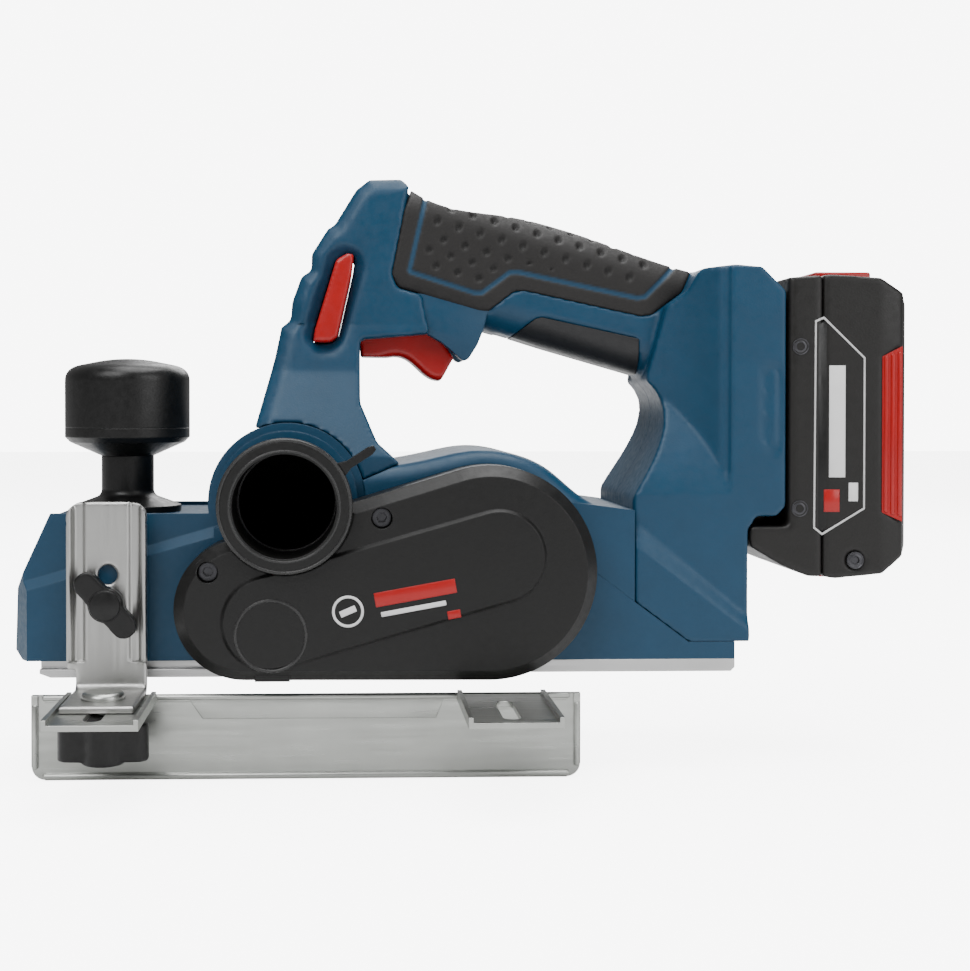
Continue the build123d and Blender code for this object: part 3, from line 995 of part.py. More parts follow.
with BuildPart() as battery_base:
    side_prism([(PACK_SPLIT, 34.6), (PACK_X + 7.6, 34.8), (PACK_X - 2.7, 39.1), (PACK_X - 14.0, 45.9),
                (PACK_X - 14.7, 49.3), (PACK_X - 14.0, 53.6), (PACK_X, 53.6), (PACK_X, PACK_TOP),
                (PACK_SPLIT, PACK_TOP + 1)], -PACK_HALF, PACK_HALF)
    fillet(battery_base.edges().filter_by(Axis.Z), radius=2)
    pack_cell_room(Mode.SUBTRACT)
    # rail tower that runs in the handle's channel
    block(PACK_X - 2.2 - SLIDE_GAP, PACK_X, -LIP_HALF + SLIDE_GAP, LIP_HALF - SLIDE_GAP, 53.6, 139.0)
    block(MOUNT_BACK - CHANNEL_DEPTH + SLIDE_GAP, MOUNT_BACK - WALL - SLIDE_GAP, -CHANNEL_HALF + SLIDE_GAP,
          CHANNEL_HALF - SLIDE_GAP, 53.6, 139.0)
    block(MOUNT_BACK - WALL - SLIDE_GAP - 0.1, PACK_X, -LIP_HALF + SLIDE_GAP, LIP_HALF - SLIDE_GAP, 53.6, 139.0)
    for y in BLADE_ROWS:
        block(MOUNT_BACK - CHANNEL_DEPTH, MOUNT_BACK - CHANNEL_DEPTH + 7.5, y - 1.2, y + 1.2,
              terminal_box[3] - 24, 140, mode=Mode.SUBTRACT)
finish(battery_base, "battery_base")

BUTTON_X = (PACK_SPLIT + 1.0, PACK_SPLIT + 21.0)
GRIP_DEPTH = 0.8
pack_grip_outline = [(PACK_END - 10.9, 58.8), (PACK_END - 3.2, 55.3), (PACK_END - 3.2, 121.3),
                     (PACK_END - 10.9, 117.4)]
PACK_SCREW_AT = (PACK_SPLIT + 12.1, 40.8)
PACK_SCREW_R = 3.2
with BuildPart() as battery_cover:
    side_prism([(PACK_SPLIT, 34.6), (PACK_SPLIT, PACK_TOP + 1), (PACK_SPLIT + 3, PACK_TOP + 1.2),
                (PACK_END - 11.3, PACK_TOP), (PACK_END - 2.3, 141.4), (PACK_END, 136.8), (PACK_END, 45.9),
                (PACK_END - 1.9, 42.5), (PACK_END - 10.5, 35.6), (PACK_SPLIT + 4.7, PACK_LOW)],
               -PACK_HALF, PACK_HALF)
    with BuildSketch(Plane.XY) as pack_plan:
        with BuildLine():
            Polyline((PACK_X, PACK_HALF), (PACK_END - 3, PACK_HALF), (PACK_END, PACK_HALF - 5),
                     (PACK_END, 5 - PACK_HALF), (PACK_END - 3, -PACK_HALF), (PACK_X, -PACK_HALF), close=True)
        make_face()
    extrude(pack_plan.sketch, amount=200, mode=Mode.INTERSECT)
    pack_cell_room(Mode.SUBTRACT)
    block(*BUTTON_X, -12, 12, 140, PACK_TOP + 4, mode=Mode.SUBTRACT)
    for y_low, y_high in ((-PACK_HALF - 1, -PACK_HALF + GRIP_DEPTH), (PACK_HALF - GRIP_DEPTH, PACK_HALF + 1)):
        side_prism(pack_grip_outline, y_low, y_high, mode=Mode.SUBTRACT)
    side_disc(PACK_SCREW_AT, PACK_SCREW_R + 0.2, -PACK_HALF - 1, -PACK_HALF + 2, mode=Mode.SUBTRACT)
finish(battery_cover, "battery_cover")

with BuildPart() as battery_side_grips:
    for y_low, y_high in ((-PACK_HALF, -PACK_HALF + GRIP_DEPTH), (PACK_HALF - GRIP_DEPTH, PACK_HALF)):
        side_prism(pack_grip_outline, y_low, y_high)
finish(battery_side_grips, "battery_side_grips")

CELL_R = 9.1
CELL_PITCH = 19.0
with BuildPart() as battery_cells:
    for column in range(2):
        for row in range(5):
            side_disc((PACK_X + 13.6 + column * CELL_PITCH, 54.0 + row * CELL_PITCH), CELL_R, -32.5, 32.5)
finish(battery_cells, "battery_cells")

with BuildPart() as battery_screws:
    side_disc(PACK_SCREW_AT, PACK_SCREW_R, -PACK_HALF + 0.4, -PACK_HALF + 2)
finish(battery_screws, "battery_screws")

with BuildPart() as battery_release:
    block(BUTTON_X[0] + 0.4, BUTTON_X[1] - 0.4, -11.6, 11.6, 143.4, PACK_TOP + 2.6)
    fillet(battery_release.edges().group_by(Axis.Z)[-1], radius=1)
finish(battery_release, "battery_release")
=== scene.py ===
"""The looks of the cordless hand planer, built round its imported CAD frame. Lengths are in metres."""
import json
import math

import bpy
from mathutils import Matrix, Vector


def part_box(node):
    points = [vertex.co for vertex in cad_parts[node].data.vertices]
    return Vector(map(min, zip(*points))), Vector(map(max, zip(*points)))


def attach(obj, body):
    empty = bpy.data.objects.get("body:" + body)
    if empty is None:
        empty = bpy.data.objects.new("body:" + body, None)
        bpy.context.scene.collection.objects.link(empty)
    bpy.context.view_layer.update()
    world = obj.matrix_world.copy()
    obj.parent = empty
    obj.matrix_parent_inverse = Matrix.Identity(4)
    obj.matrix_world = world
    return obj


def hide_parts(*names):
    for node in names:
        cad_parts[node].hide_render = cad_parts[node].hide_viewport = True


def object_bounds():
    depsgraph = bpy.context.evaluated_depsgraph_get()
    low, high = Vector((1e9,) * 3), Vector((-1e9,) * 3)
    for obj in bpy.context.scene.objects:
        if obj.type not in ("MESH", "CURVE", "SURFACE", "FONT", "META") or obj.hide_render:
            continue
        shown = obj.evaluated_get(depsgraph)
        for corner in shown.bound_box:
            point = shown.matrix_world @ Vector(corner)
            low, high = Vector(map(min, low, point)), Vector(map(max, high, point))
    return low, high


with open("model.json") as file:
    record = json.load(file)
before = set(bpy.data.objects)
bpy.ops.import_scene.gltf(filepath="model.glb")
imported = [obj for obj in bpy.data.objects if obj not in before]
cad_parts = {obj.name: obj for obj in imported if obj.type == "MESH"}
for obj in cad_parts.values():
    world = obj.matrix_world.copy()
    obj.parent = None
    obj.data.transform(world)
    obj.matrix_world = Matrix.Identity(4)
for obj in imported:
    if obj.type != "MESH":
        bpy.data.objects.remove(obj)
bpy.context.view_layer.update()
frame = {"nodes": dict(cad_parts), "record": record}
nodes = frame["nodes"]
MM = 0.001

# ------------------------------------------------------------------ material building blocks
SHADER_SOCKETS = {"rough": "Roughness", "metal": "Metallic", "coat": "Coat Weight", "ior": "IOR",
                  "specular": "Specular IOR Level"}


class Finish:
    """A node material being put together: it keeps the shader and the pattern coordinates at hand."""

    def __init__(self, name, **settings):
        self.material = bpy.data.materials.new(name)
        self.material.use_nodes = True
        self.tree = self.material.node_tree
        self.shader = self.tree.nodes["Principled BSDF"]
        self.coords = self.tree.nodes.new("ShaderNodeTexCoord").outputs["Object"]
        for key, value in settings.items():
            self.shader.inputs[SHADER_SOCKETS[key]].default_value = value

    def add(self, kind, **inputs):
        node = self.tree.nodes.new("ShaderNode" + kind)
        for key, value in inputs.items():
            socket = node.inputs[key.replace("_", " ")]
            if isinstance(value, bpy.types.NodeSocket):
                self.tree.links.new(value, socket)
            else:
                socket.default_value = value
        return node

    def noise(self, scale, detail=3.0, stretch=None):
        """A noise value over the surface; stretch scales it unevenly along X, Y and Z."""
        place = self.coords
        if stretch:
            place = self.add("Mapping", Vector=self.coords, Scale=stretch).outputs["Vector"]
        return self.add("TexNoise", Vector=place, Scale=scale, Detail=detail).outputs["Fac"]

    def ramp(self, value, low, high, from_low=0.3, from_high=0.7):
        """The value carried from one range to another."""
        return self.add("MapRange", Value=value, From_Min=from_low, From_Max=from_high, To_Min=low,
                        To_Max=high).outputs["Result"]

    def blend(self, value, first, second):
        """A colour between two, by a value."""
        mix = self.tree.nodes.new("ShaderNodeMix")
        mix.data_type = "RGBA"
        self.tree.links.new(value, mix.inputs["Factor"])
        for socket, colour in ((mix.inputs[6], first), (mix.inputs[7], second)):
            if isinstance(colour, bpy.types.NodeSocket):
                self.tree.links.new(colour, socket)
            else:
                socket.default_value = (*colour, 1)
        return mix.outputs[2]

    def colour(self, value):
        self.tree.links.new(value, self.shader.inputs["Base Color"])

    def rough(self, value):
        self.tree.links.new(value, self.shader.inputs["Roughness"])

    def bump(self, value, depth, edge=0.0006):
        """Relief of the given depth, over edges that are eased by a small radius. Both are in metres."""
        eased = self.tree.nodes.new("ShaderNodeBevel")
        eased.samples = 4
        eased.inputs["Radius"].default_value = edge
        node = self.add("Bump", Height=value, Distance=depth, Strength=1.0)
        self.tree.links.new(eased.outputs["Normal"], node.inputs["Normal"])
        self.tree.links.new(node.outputs["Normal"], self.shader.inputs["Normal"])


# ------------------------------------------------------------------ finishes
def moulded(name, base, rough, spread=0.12, grain=1400, depth=0.00004, coat=0.0):
    """Injection-moulded plastic: fine spark texture, slight mottling of colour and sheen."""
    finish = Finish(name, ior=1.5, coat=coat, specular=0.28)
    mottle = finish.noise(90, 4)
    darker = tuple(channel * (1 - spread) for channel in base)
    lighter = tuple(min(1, channel * (1 + spread)) for channel in base)
    finish.colour(finish.blend(mottle, darker, lighter))
    finish.rough(finish.ramp(finish.noise(420, 2), rough - 0.05, rough + 0.07))
    finish.bump(finish.noise(grain, 2), depth)
    return finish.material


def overmould(name, base, inlay_colour):
    """Soft grip rubber, with the shell's colour in the inlaid line and painted shade darkening its dimples."""
    finish = Finish(name, ior=1.48, specular=0.3)
    mottle = finish.noise(70, 4)
    darker = tuple(channel * 0.85 for channel in base)
    lighter = tuple(channel * 1.2 for channel in base)
    rubber = finish.blend(mottle, darker, lighter)
    line = finish.tree.nodes.new("ShaderNodeAttribute")
    line.attribute_name = "inlay"
    # painted shade: inside each dimple the rubber is darkened to 0.3 of its colour, where shade falls
    pit = finish.tree.nodes.new("ShaderNodeAttribute")
    pit.attribute_name = "pit_shade"
    pit_shaded = finish.blend(pit.outputs["Fac"], rubber, tuple(channel * 0.3 for channel in base))
    finish.colour(finish.blend(line.outputs["Fac"], pit_shaded, inlay_colour))
    finish.rough(finish.ramp(finish.noise(500, 2), 0.5, 0.64))
    finish.bump(finish.noise(2200, 2), 0.00006)
    return finish.material


def sheet_metal(name, base, rough, stretch, metal=1.0):
    """Rolled or plated metal: fine lines one way, cloudy patches of sheen."""
    finish = Finish(name, metal=metal)
    lines = finish.noise(600, 3, stretch)
    clouds = finish.noise(60, 3)
    darker = tuple(channel * 0.8 for channel in base)
    finish.colour(finish.blend(clouds, darker, base))
    finish.rough(finish.ramp(lines, rough - 0.06, rough + 0.1))
    finish.bump(lines, 0.00002)
    return finish.material


BLUE = (0.003, 0.032, 0.067)
BLACK = (0.0032, 0.0032, 0.0031)
RED = (0.27, 0.0035, 0.0035)
blue_shell = moulded("blue_shell", BLUE, 0.42)
black_shell = moulded("black_shell", BLACK, 0.4)
pack_black = moulded("pack_black", (0.006, 0.0056, 0.0052), 0.42)
knob_black = moulded("knob_black", (0.004, 0.004, 0.004), 0.34)
# a lighter black than the knobs, which paints highlight on the turned rims; its lower roughness adds real
# highlights too
rim_black_painted_highlight = moulded("rim_black_painted_highlight", (0.02, 0.02, 0.02), 0.24)
red_plastic = moulded("red_plastic", RED, 0.33, coat=0.15)
dark_panel = moulded("dark_panel", (0.012, 0.012, 0.013), 0.42)
grip_rubber = overmould("grip_rubber", (0.0085, 0.0078, 0.0075), BLUE)
shoe_alloy = sheet_metal("shoe_alloy", (0.5, 0.5, 0.5), 0.38, (0.02, 1, 1))
guide_steel = sheet_metal("guide_steel", (0.4, 0.41, 0.39), 0.32, (0.06, 1, 1))
strap_steel = sheet_metal("strap_steel", (0.4, 0.4, 0.39), 0.34, (1, 1, 0.04))
dark_steel = sheet_metal("dark_steel", (0.06, 0.06, 0.065), 0.4, (1, 1, 1))
bright_steel = sheet_metal("bright_steel", (0.55, 0.55, 0.56), 0.25, (1, 1, 1))
brass_turned = sheet_metal("brass_turned", (0.6, 0.42, 0.16), 0.3, (1, 1, 1))
copper_wire = sheet_metal("copper_wire", (0.6, 0.28, 0.14), 0.35, (1, 1, 1))
belt_rubber = moulded("belt_rubber", (0.012, 0.012, 0.012), 0.7)
board_green = moulded("board_green", (0.02, 0.12, 0.05), 0.35)
label_silver = sheet_metal("label_silver", (0.5, 0.5, 0.5), 0.4, (1, 1, 1), metal=0.6)
white_print = moulded("white_print", (0.55, 0.55, 0.55), 0.45)
cell_wrap = moulded("cell_wrap", (0.05, 0.2, 0.32), 0.3)

FINISH_OF_SLOT = {"blue_shell": blue_shell, "black_shell": black_shell, "grip_rubber": grip_rubber,
                  "red_plastic": red_plastic, "shoe_aluminium": shoe_alloy, "guide_steel": guide_steel,
                  "dark_steel": dark_steel, "bright_steel": bright_steel, "brass": brass_turned,
                  "copper": copper_wire, "belt_rubber": belt_rubber, "board_green": board_green,
                  "cell_wrap": cell_wrap}
FINISH_OF_NODE = {"guide_bracket": strap_steel, "knob_cap": knob_black, "knob_cup": knob_black,
                  "depth_dial": knob_black, "battery_base": pack_black, "battery_cover": pack_black,
                  "grip_panel_left": dark_panel, "grip_panel_right": dark_panel}


def dress(piece, material):
    """Give a piece one finish all over."""
    if piece.data.materials:
        for index in range(len(piece.data.materials)):
            piece.data.materials[index] = material
    else:
        piece.data.materials.append(material)


slot_of_node = {entry["node"]: entry["material_slot"] for entry in frame["record"]["subparts"]}
for name, piece in nodes.items():
    dress(piece, FINISH_OF_NODE.get(name, FINISH_OF_SLOT[slot_of_node[name]]))

# ------------------------------------------------------------------ making pieces
BODIES = frame["record"]["behaviour"]["bodies"]
body_of_node = {node: body for body, members in BODIES.items() for node in members}


def deselect():
    bpy.ops.object.select_all(action="DESELECT")


def edit(piece):
    """Enter edit mode on one piece with everything selected."""
    deselect()
    piece.select_set(True)
    bpy.context.view_layer.objects.active = piece
    bpy.ops.object.mode_set(mode="EDIT")
    bpy.ops.mesh.select_all(action="SELECT")


def edit_top(piece):
    """Enter edit mode on the active piece, with the faces of its flat top marked."""
    for face in piece.data.polygons:
        face.select = face.normal.z > 0.9
    bpy.ops.object.mode_set(mode="EDIT")


def leave():
    bpy.ops.object.mode_set(mode="OBJECT")


def apply_modifier(piece, kind, **settings):
    modifier = piece.modifiers.new(kind.lower(), kind)
    for key, value in settings.items():
        setattr(modifier, key, value)
    deselect()
    bpy.context.view_layer.objects.active = piece
    piece.select_set(True)
    bpy.ops.object.modifier_apply(modifier=modifier.name)


def settle(piece, name, material, body, smooth=35):
    """Name, place, shade and hand over a finished new piece."""
    deselect()
    bpy.context.view_layer.objects.active = piece
    piece.select_set(True)
    bpy.ops.object.transform_apply(location=True, rotation=True, scale=True)
    bpy.ops.object.shade_smooth_by_angle(angle=math.radians(smooth))
    piece.name = name
    piece.data.name = name
    dress(piece, material)
    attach(piece, body)
    return piece


def copy_of(*node_names):
    """One new piece from copies of CAD nodes, with their loose triangles merged."""
    copies = []
    for node_name in node_names:
        copy = bpy.data.objects.new("copy", nodes[node_name].data.copy())
        bpy.context.scene.collection.objects.link(copy)
        copies.append(copy)
    deselect()
    for copy in copies:
        copy.select_set(True)
    bpy.context.view_layer.objects.active = copies[0]
    if len(copies) > 1:
        bpy.ops.object.join()
    edit(copies[0])
    bpy.ops.mesh.remove_doubles(threshold=0.00001)
    leave()
    return copies[0]


def half_of(piece, side):
    """A copy of a piece cut at the middle plane: side is -1 for the left half."""
    copy = bpy.data.objects.new("half", piece.data.copy())
    bpy.context.scene.collection.objects.link(copy)
    edit(copy)
    bpy.ops.mesh.bisect(plane_co=(0, side * SEAM_GAP, 0), plane_no=(0, 1, 0), use_fill=True,
                        clear_inner=side > 0, clear_outer=side < 0)
    leave()
    return copy


def off_segment(x, z, start, end):
    """The offset of a side-view point from its nearest point on a segment."""
    (ax, az), (bx, bz) = start, end
    share = ((x - ax) * (bx - ax) + (z - az) * (bz - az)) / ((bx - ax) ** 2 + (bz - az) ** 2)
    share = max(0, min(1, share))
    return x - ax - share * (bx - ax), z - az - share * (bz - az)


def side_distance(x, z, outline):
    """Distance inside a closed side-view outline; it is negative outside."""
    nearest, inside = 1.0, False
    for (ax, az), (bx, bz) in zip(outline, outline[1:] + outline[:1]):
        nearest = min(nearest, math.hypot(*off_segment(x, z, (ax, az), (bx, bz))))
        if (az > z) != (bz > z) and x < ax + (z - az) * (bx - ax) / (bz - az):
            inside = not inside
    return nearest if inside else -nearest


def smooth_step(value, low, high):
    share = max(0, min(1, (value - low) / (high - low)))
    return share * share * (3 - 2 * share)


def from_corner(corner, points):
    """Side-view points given in millimetres along X and Z from a corner of a CAD node."""
    return [(corner[0] + along * MM, corner[1] + up * MM) for along, up in points]


# ------------------------------------------------------------------ handle shells
SEAM_GAP = 0.00012
LOCK_LOW, LOCK_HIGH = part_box("lock_off_bar")
LOCK_LINE = ((LOCK_LOW.x + 0.0035, LOCK_LOW.z + 0.003), (LOCK_HIGH.x - 0.0035, LOCK_HIGH.z - 0.004))
LOCK_DISH_DEPTH = 0.0024
LEG_BEVEL = 0.0048
LEG_BEVEL_SLOPE = 0.55
LEG_REAR_X = LOCK_LOW.x + 0.0372
LEG_LOW_Z = LOCK_LOW.z - 0.0397
# the leg's stepped front edge, closed off well outside the leg
LEG_FRONT = from_corner((LOCK_LOW.x, LOCK_LOW.z), [
    (-24.1, -39.7), (-15.3, -6.7), (-12.8, 5.3), (-9.2, 8.3), (-8.7, 15.1), (-5.1, 24.9), (-1.2, 27.3),
    (-1.2, 33.5), (5.0, 43.3), (7.7, 44.9), (15.9, 58.3), (20.9, 62.3), (33.5, 62.6),
    (33.5, 176.3), (-124.8, 176.3), (-124.8, -39.7)])
SHELL_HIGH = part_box("handle_shell_left")[1]
BOSS_X = SHELL_HIGH.x - 0.0048             # oblong boss on the battery mount
BOSS_Z = (SHELL_HIGH.z - 0.1008, SHELL_HIGH.z - 0.0753)
BOSS_R = 0.0026


def shell_profile(vertex):
    """The dish round the lock-off bar, the leg's front bevel and the rim of the mount's boss."""
    x, y, z = vertex.co
    drop = 0
    if abs(y) > 0.012 and LOCK_LOW.x - 0.02 < x < LOCK_HIGH.x + 0.02:
        away = math.hypot(*off_segment(x, z, *LOCK_LINE))
        drop += LOCK_DISH_DEPTH * (1 - smooth_step(away, 0.0045, 0.0095))
    if abs(y) > 0.011 and x < LEG_REAR_X and z > LEG_LOW_Z:
        drop += LEG_BEVEL_SLOPE * max(0, LEG_BEVEL - abs(side_distance(x, z, LEG_FRONT)))
    if abs(y) > 0.025 and x > BOSS_X - 0.005 and BOSS_Z[0] - 0.006 < z < BOSS_Z[1] + 0.006:
        away = math.hypot(x - BOSS_X, z - max(BOSS_Z[0], min(BOSS_Z[1], z)))
        drop += 0.0008 * (1 - smooth_step(abs(away - BOSS_R), 0.0003, 0.0011))
    vertex.co.y -= math.copysign(drop, y)


def settle_halves(whole, skin, node, material):
    """Cut a skin at the seam, and let each half stand for its CAD half."""
    for side, side_name in ((-1, "left"), (1, "right")):
        half = settle(half_of(whole, side), f"{skin}_{side_name}", material, "housing", 60)
        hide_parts(f"{node}_{side_name}")
    bpy.data.objects.remove(whole)


def handle_shells():
    """Both clamshell halves, with their edges rolled over as moulded parts are."""
    whole = copy_of("handle_shell_left", "handle_shell_right")
    apply_modifier(whole, "REMESH", mode="VOXEL", voxel_size=0.001)
    apply_modifier(whole, "SMOOTH", factor=0.5, iterations=4)
    apply_modifier(whole, "DECIMATE", ratio=0.6)
    for vertex in whole.data.vertices:
        shell_profile(vertex)
    settle_halves(whole, "handle_skin", "handle_shell", blue_shell)


# ------------------------------------------------------------------ grip skins
GRIP_CORNER = (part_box("grip_left")[0].x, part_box("grip_left")[0].z)
BAR_AT = (GRIP_CORNER[0] + 0.0557, GRIP_CORNER[1] + 0.0135)
BAR_TILT = math.radians(16.1)
GRIP_R = 0.0165
PAD_MARGIN = 0.0028          # plain edge of the pad, without dimples
PAD_OUTLINE = from_corner(GRIP_CORNER, [
    (16.7, 56.5), (7.9, 17.6), (32.3, 9.7), (34.5, 9.7), (45.2, 17.6), (48.7, 17.8), (94.9, 7.9), (97.5, 8.3),
    (109.5, 20.3), (111.7, 56.5)])
GROOVE_HALF = 0.0009
GROOVE_DEPTH = 0.0007
DIMPLE_R = 0.0018
DIMPLE_DEPTH = 0.0012
DIMPLE_PITCH = (0.0086, 0.0047)


def dimple(x, y, z):
    """Depth of the nearest dimple at a point of the pad."""
    along = (x - BAR_AT[0]) * math.cos(BAR_TILT) - (z - BAR_AT[1]) * math.sin(BAR_TILT)
    height = (x - BAR_AT[0]) * math.sin(BAR_TILT) + (z - BAR_AT[1]) * math.cos(BAR_TILT)
    around = GRIP_R * math.atan2(height, abs(y))
    row = round(around / DIMPLE_PITCH[1])
    shift = 0.5 * DIMPLE_PITCH[0] * (row % 2)
    column = round((along - shift) / DIMPLE_PITCH[0])
    away = math.hypot(along - shift - column * DIMPLE_PITCH[0], around - row * DIMPLE_PITCH[1])
    return DIMPLE_DEPTH * (1 - smooth_step(away, 0.15 * DIMPLE_R, DIMPLE_R))


def grip_skins():
    """The soft overmould: a plain rim, an inlaid line in the shell's colour and a dimpled pad."""
    whole = copy_of("grip_left", "grip_right")
    apply_modifier(whole, "REMESH", mode="VOXEL", voxel_size=0.0007)
    apply_modifier(whole, "SMOOTH", factor=0.5, iterations=4)
    inlay = whole.data.attributes.new("inlay", "FLOAT", "POINT")
    # besides the real dimples, the dimple depth is kept as a mask for painted shade in the rubber's colour
    pit_shade = whole.data.attributes.new("pit_shade", "FLOAT", "POINT")
    normals = [vertex.normal.copy() for vertex in whole.data.vertices]
    for vertex, normal in zip(whole.data.vertices, normals):
        x, y, z = vertex.co
        inward = side_distance(x, z, PAD_OUTLINE)
        height = (x - BAR_AT[0]) * math.sin(BAR_TILT) + (z - BAR_AT[1]) * math.cos(BAR_TILT)
        outward = normal.y * y + (normal.z * height if height > 0 else 0)
        if outward <= 0:
            continue
        line = 1 - smooth_step(abs(inward + GROOVE_HALF), 0.5 * GROOVE_HALF, 1.4 * GROOVE_HALF)
        inlay.data[vertex.index].value = line
        drop = GROOVE_DEPTH * line
        if inward > PAD_MARGIN:
            pit = dimple(x, y, z)
            drop += pit
            pit_shade.data[vertex.index].value = pit / DIMPLE_DEPTH
        vertex.co -= normal * drop
    settle_halves(whole, "grip_skin", "grip", grip_rubber)


# ------------------------------------------------------------------ rounded mouldings
def rounded_skin(name, node_names, material, voxel, rounds, shape=None):
    """A copy of CAD nodes with all edges rolled over, which stands for them."""
    skin = copy_of(*node_names)
    apply_modifier(skin, "REMESH", mode="VOXEL", voxel_size=voxel)
    apply_modifier(skin, "SMOOTH", factor=0.5, iterations=rounds)
    if shape:
        for vertex in skin.data.vertices:
            shape(vertex)
    settle(skin, name, material, body_of_node[node_names[0]], 50)
    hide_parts(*node_names)
    return skin


STRAP_LOW, STRAP_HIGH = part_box("guide_bracket")
STRAP_MIDDLE = (STRAP_LOW.x + STRAP_HIGH.x) / 2
STRAP_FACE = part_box("guide_inserts")[0].y - 0.0025
STRAP_UPRIGHT_Z = STRAP_LOW.z + 0.0122
STRAP_CORNER_R = 0.006
PACK_LOW, PACK_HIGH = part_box("battery_cover")


def strap_profile(vertex):
    """Rolled edges and a flat raised middle, with a shallow valley each side, on the upright's face."""
    x, y, z = vertex.co
    across = abs(x - STRAP_MIDDLE)
    corner_x, corner_z = 0.0085, STRAP_HIGH.z - STRAP_CORNER_R
    if z > STRAP_HIGH.z - 0.008 and across > 0.0065:
        corner = math.hypot(across - corner_x, z - corner_z)
        if corner > STRAP_CORNER_R:
            drawn = corner_x + (across - corner_x) * STRAP_CORNER_R / corner
            vertex.co.x = STRAP_MIDDLE + math.copysign(drawn, x - STRAP_MIDDLE)
            vertex.co.z = corner_z + (z - corner_z) * STRAP_CORNER_R / corner
    if z > STRAP_UPRIGHT_Z and y < STRAP_FACE + 0.0008:
        valley = smooth_step(across, 0.0075, 0.0088) * (1 - smooth_step(across, 0.0118, 0.0132))
        vertex.co.y += 0.0013 * valley


def fill_the_slot(vertex):
    """Bring the lock-off bar close to the rolled edge of its slot."""
    dx, dz = off_segment(vertex.co.x, vertex.co.z, *LOCK_LINE)
    out = Vector((dx, 0, dz))
    if out.length > 0.002:
        vertex.co += out.normalized() * 0.0006


def roll_shoulders(vertex):
    """Battery corners: a little extra taper towards the outer end."""
    x, y, z = vertex.co
    outer = smooth_step(x, PACK_HIGH.x - 0.012, PACK_HIGH.x)
    vertex.co.y -= math.copysign(0.0015 * outer * smooth_step(abs(y), 0.02, 0.03), y)


def plate(outline, y, depth, rim=0.0):
    """A flat plate facing the left side from its side-view outline; with a rim it is a frame that wide."""
    deselect()
    bpy.ops.mesh.primitive_circle_add(vertices=len(outline), fill_type="NGON")
    piece = bpy.context.active_object
    for vertex, (x, z) in zip(piece.data.vertices, outline):
        vertex.co = (x, y, z)
    edit(piece)
    if rim:
        bpy.ops.mesh.inset(thickness=rim, use_even_offset=True)
        bpy.ops.mesh.delete(type="FACE")
        bpy.ops.mesh.select_all(action="SELECT")
    bpy.ops.mesh.extrude_region_move(TRANSFORM_OT_translate={"value": (0, -depth, 0)})
    bpy.ops.mesh.select_all(action="SELECT")
    bpy.ops.mesh.normals_make_consistent(inside=False)
    leave()
    apply_modifier(piece, "BEVEL", width=min(depth * 0.4, 0.0005), segments=2, limit_method="ANGLE")
    return piece


def bar_outline(start, end, width):
    """Four corners of a bar between two side-view points."""
    (ax, az), (bx, bz) = start, end
    length = math.hypot(bx - ax, bz - az)
    dx, dz = (bx - ax) / length * width / 2, (bz - az) / length * width / 2
    return [(ax - dz, az + dx), (ax + dz, az - dx), (bx + dz, bz - dx), (bx - dz, bz + dx)]


def ring(centre, y, radius, thick):
    """A round bead that faces the left side."""
    deselect()
    bpy.ops.mesh.primitive_torus_add(location=(centre[0], y, centre[1]), rotation=(math.pi / 2, 0, 0),
                                     major_radius=radius, minor_radius=thick, major_segments=72,
                                     minor_segments=12)
    return bpy.context.active_object


def bead(start, end, radius):
    """A straight round bead between two points, with domed ends."""
    start, end = Vector(start), Vector(end)
    deselect()
    bpy.ops.mesh.primitive_cylinder_add(vertices=16, radius=radius, depth=(end - start).length)
    piece = bpy.context.active_object
    apply_modifier(piece, "BEVEL", width=radius * 0.6, segments=3, limit_method="ANGLE",
                   angle_limit=math.radians(60))
    piece.data.transform(Matrix.Translation((start + end) / 2)
                         @ (end - start).to_track_quat("Z", "Y").to_matrix().to_4x4())
    return piece


def socket_screw(x, z, y, radius, socket=6):
    """A recessed round screw head seen from the left, with a dished rim and a socket."""
    deselect()
    bpy.ops.mesh.primitive_cylinder_add(vertices=socket * 6, radius=radius, depth=0.0016)
    piece = bpy.context.active_object
    edit(piece)
    bpy.ops.mesh.select_all(action="DESELECT")
    leave()
    edit_top(piece)
    bpy.ops.mesh.inset(thickness=radius * 0.16)
    bpy.ops.transform.translate(value=(0, 0, -0.0005))
    bpy.ops.mesh.inset(thickness=radius * 0.34)
    bpy.ops.transform.translate(value=(0, 0, 0.0003))
    bpy.ops.mesh.inset(thickness=radius * 0.08)
    bpy.ops.transform.translate(value=(0, 0, -0.0009))
    leave()
    piece.data.transform(Matrix.Translation((x, y, z)) @ Matrix.Rotation(math.pi / 2, 4, "X"))
    return piece


def joined(pieces):
    """Several pieces as one."""
    deselect()
    for piece in pieces:
        piece.select_set(True)
    bpy.context.view_layer.objects.active = pieces[0]
    bpy.ops.object.join()
    return pieces[0]


def both_sides(piece):
    """The piece joined with its mirror image across the middle plane."""
    other = bpy.data.objects.new("other", piece.data.copy())
    bpy.context.scene.collection.objects.link(other)
    other.data.transform(piece.matrix_world)
    piece.data.transform(piece.matrix_world)
    piece.matrix_world = Matrix.Identity(4)
    other.data.transform(Matrix.Scale(-1, 4, (0, 1, 0)))
    other.data.flip_normals()
    return joined([piece, other])


def printed_bar(corner, start, end, width, face, depth):
    """A slightly raised bar between two points given from a corner."""
    return plate(bar_outline(*from_corner(corner, [start, end]), width * MM), face, depth)


def middle_of(low, high):
    """The side-view middle of a box."""
    return (low.x + high.x) / 2, (low.z + high.z) / 2


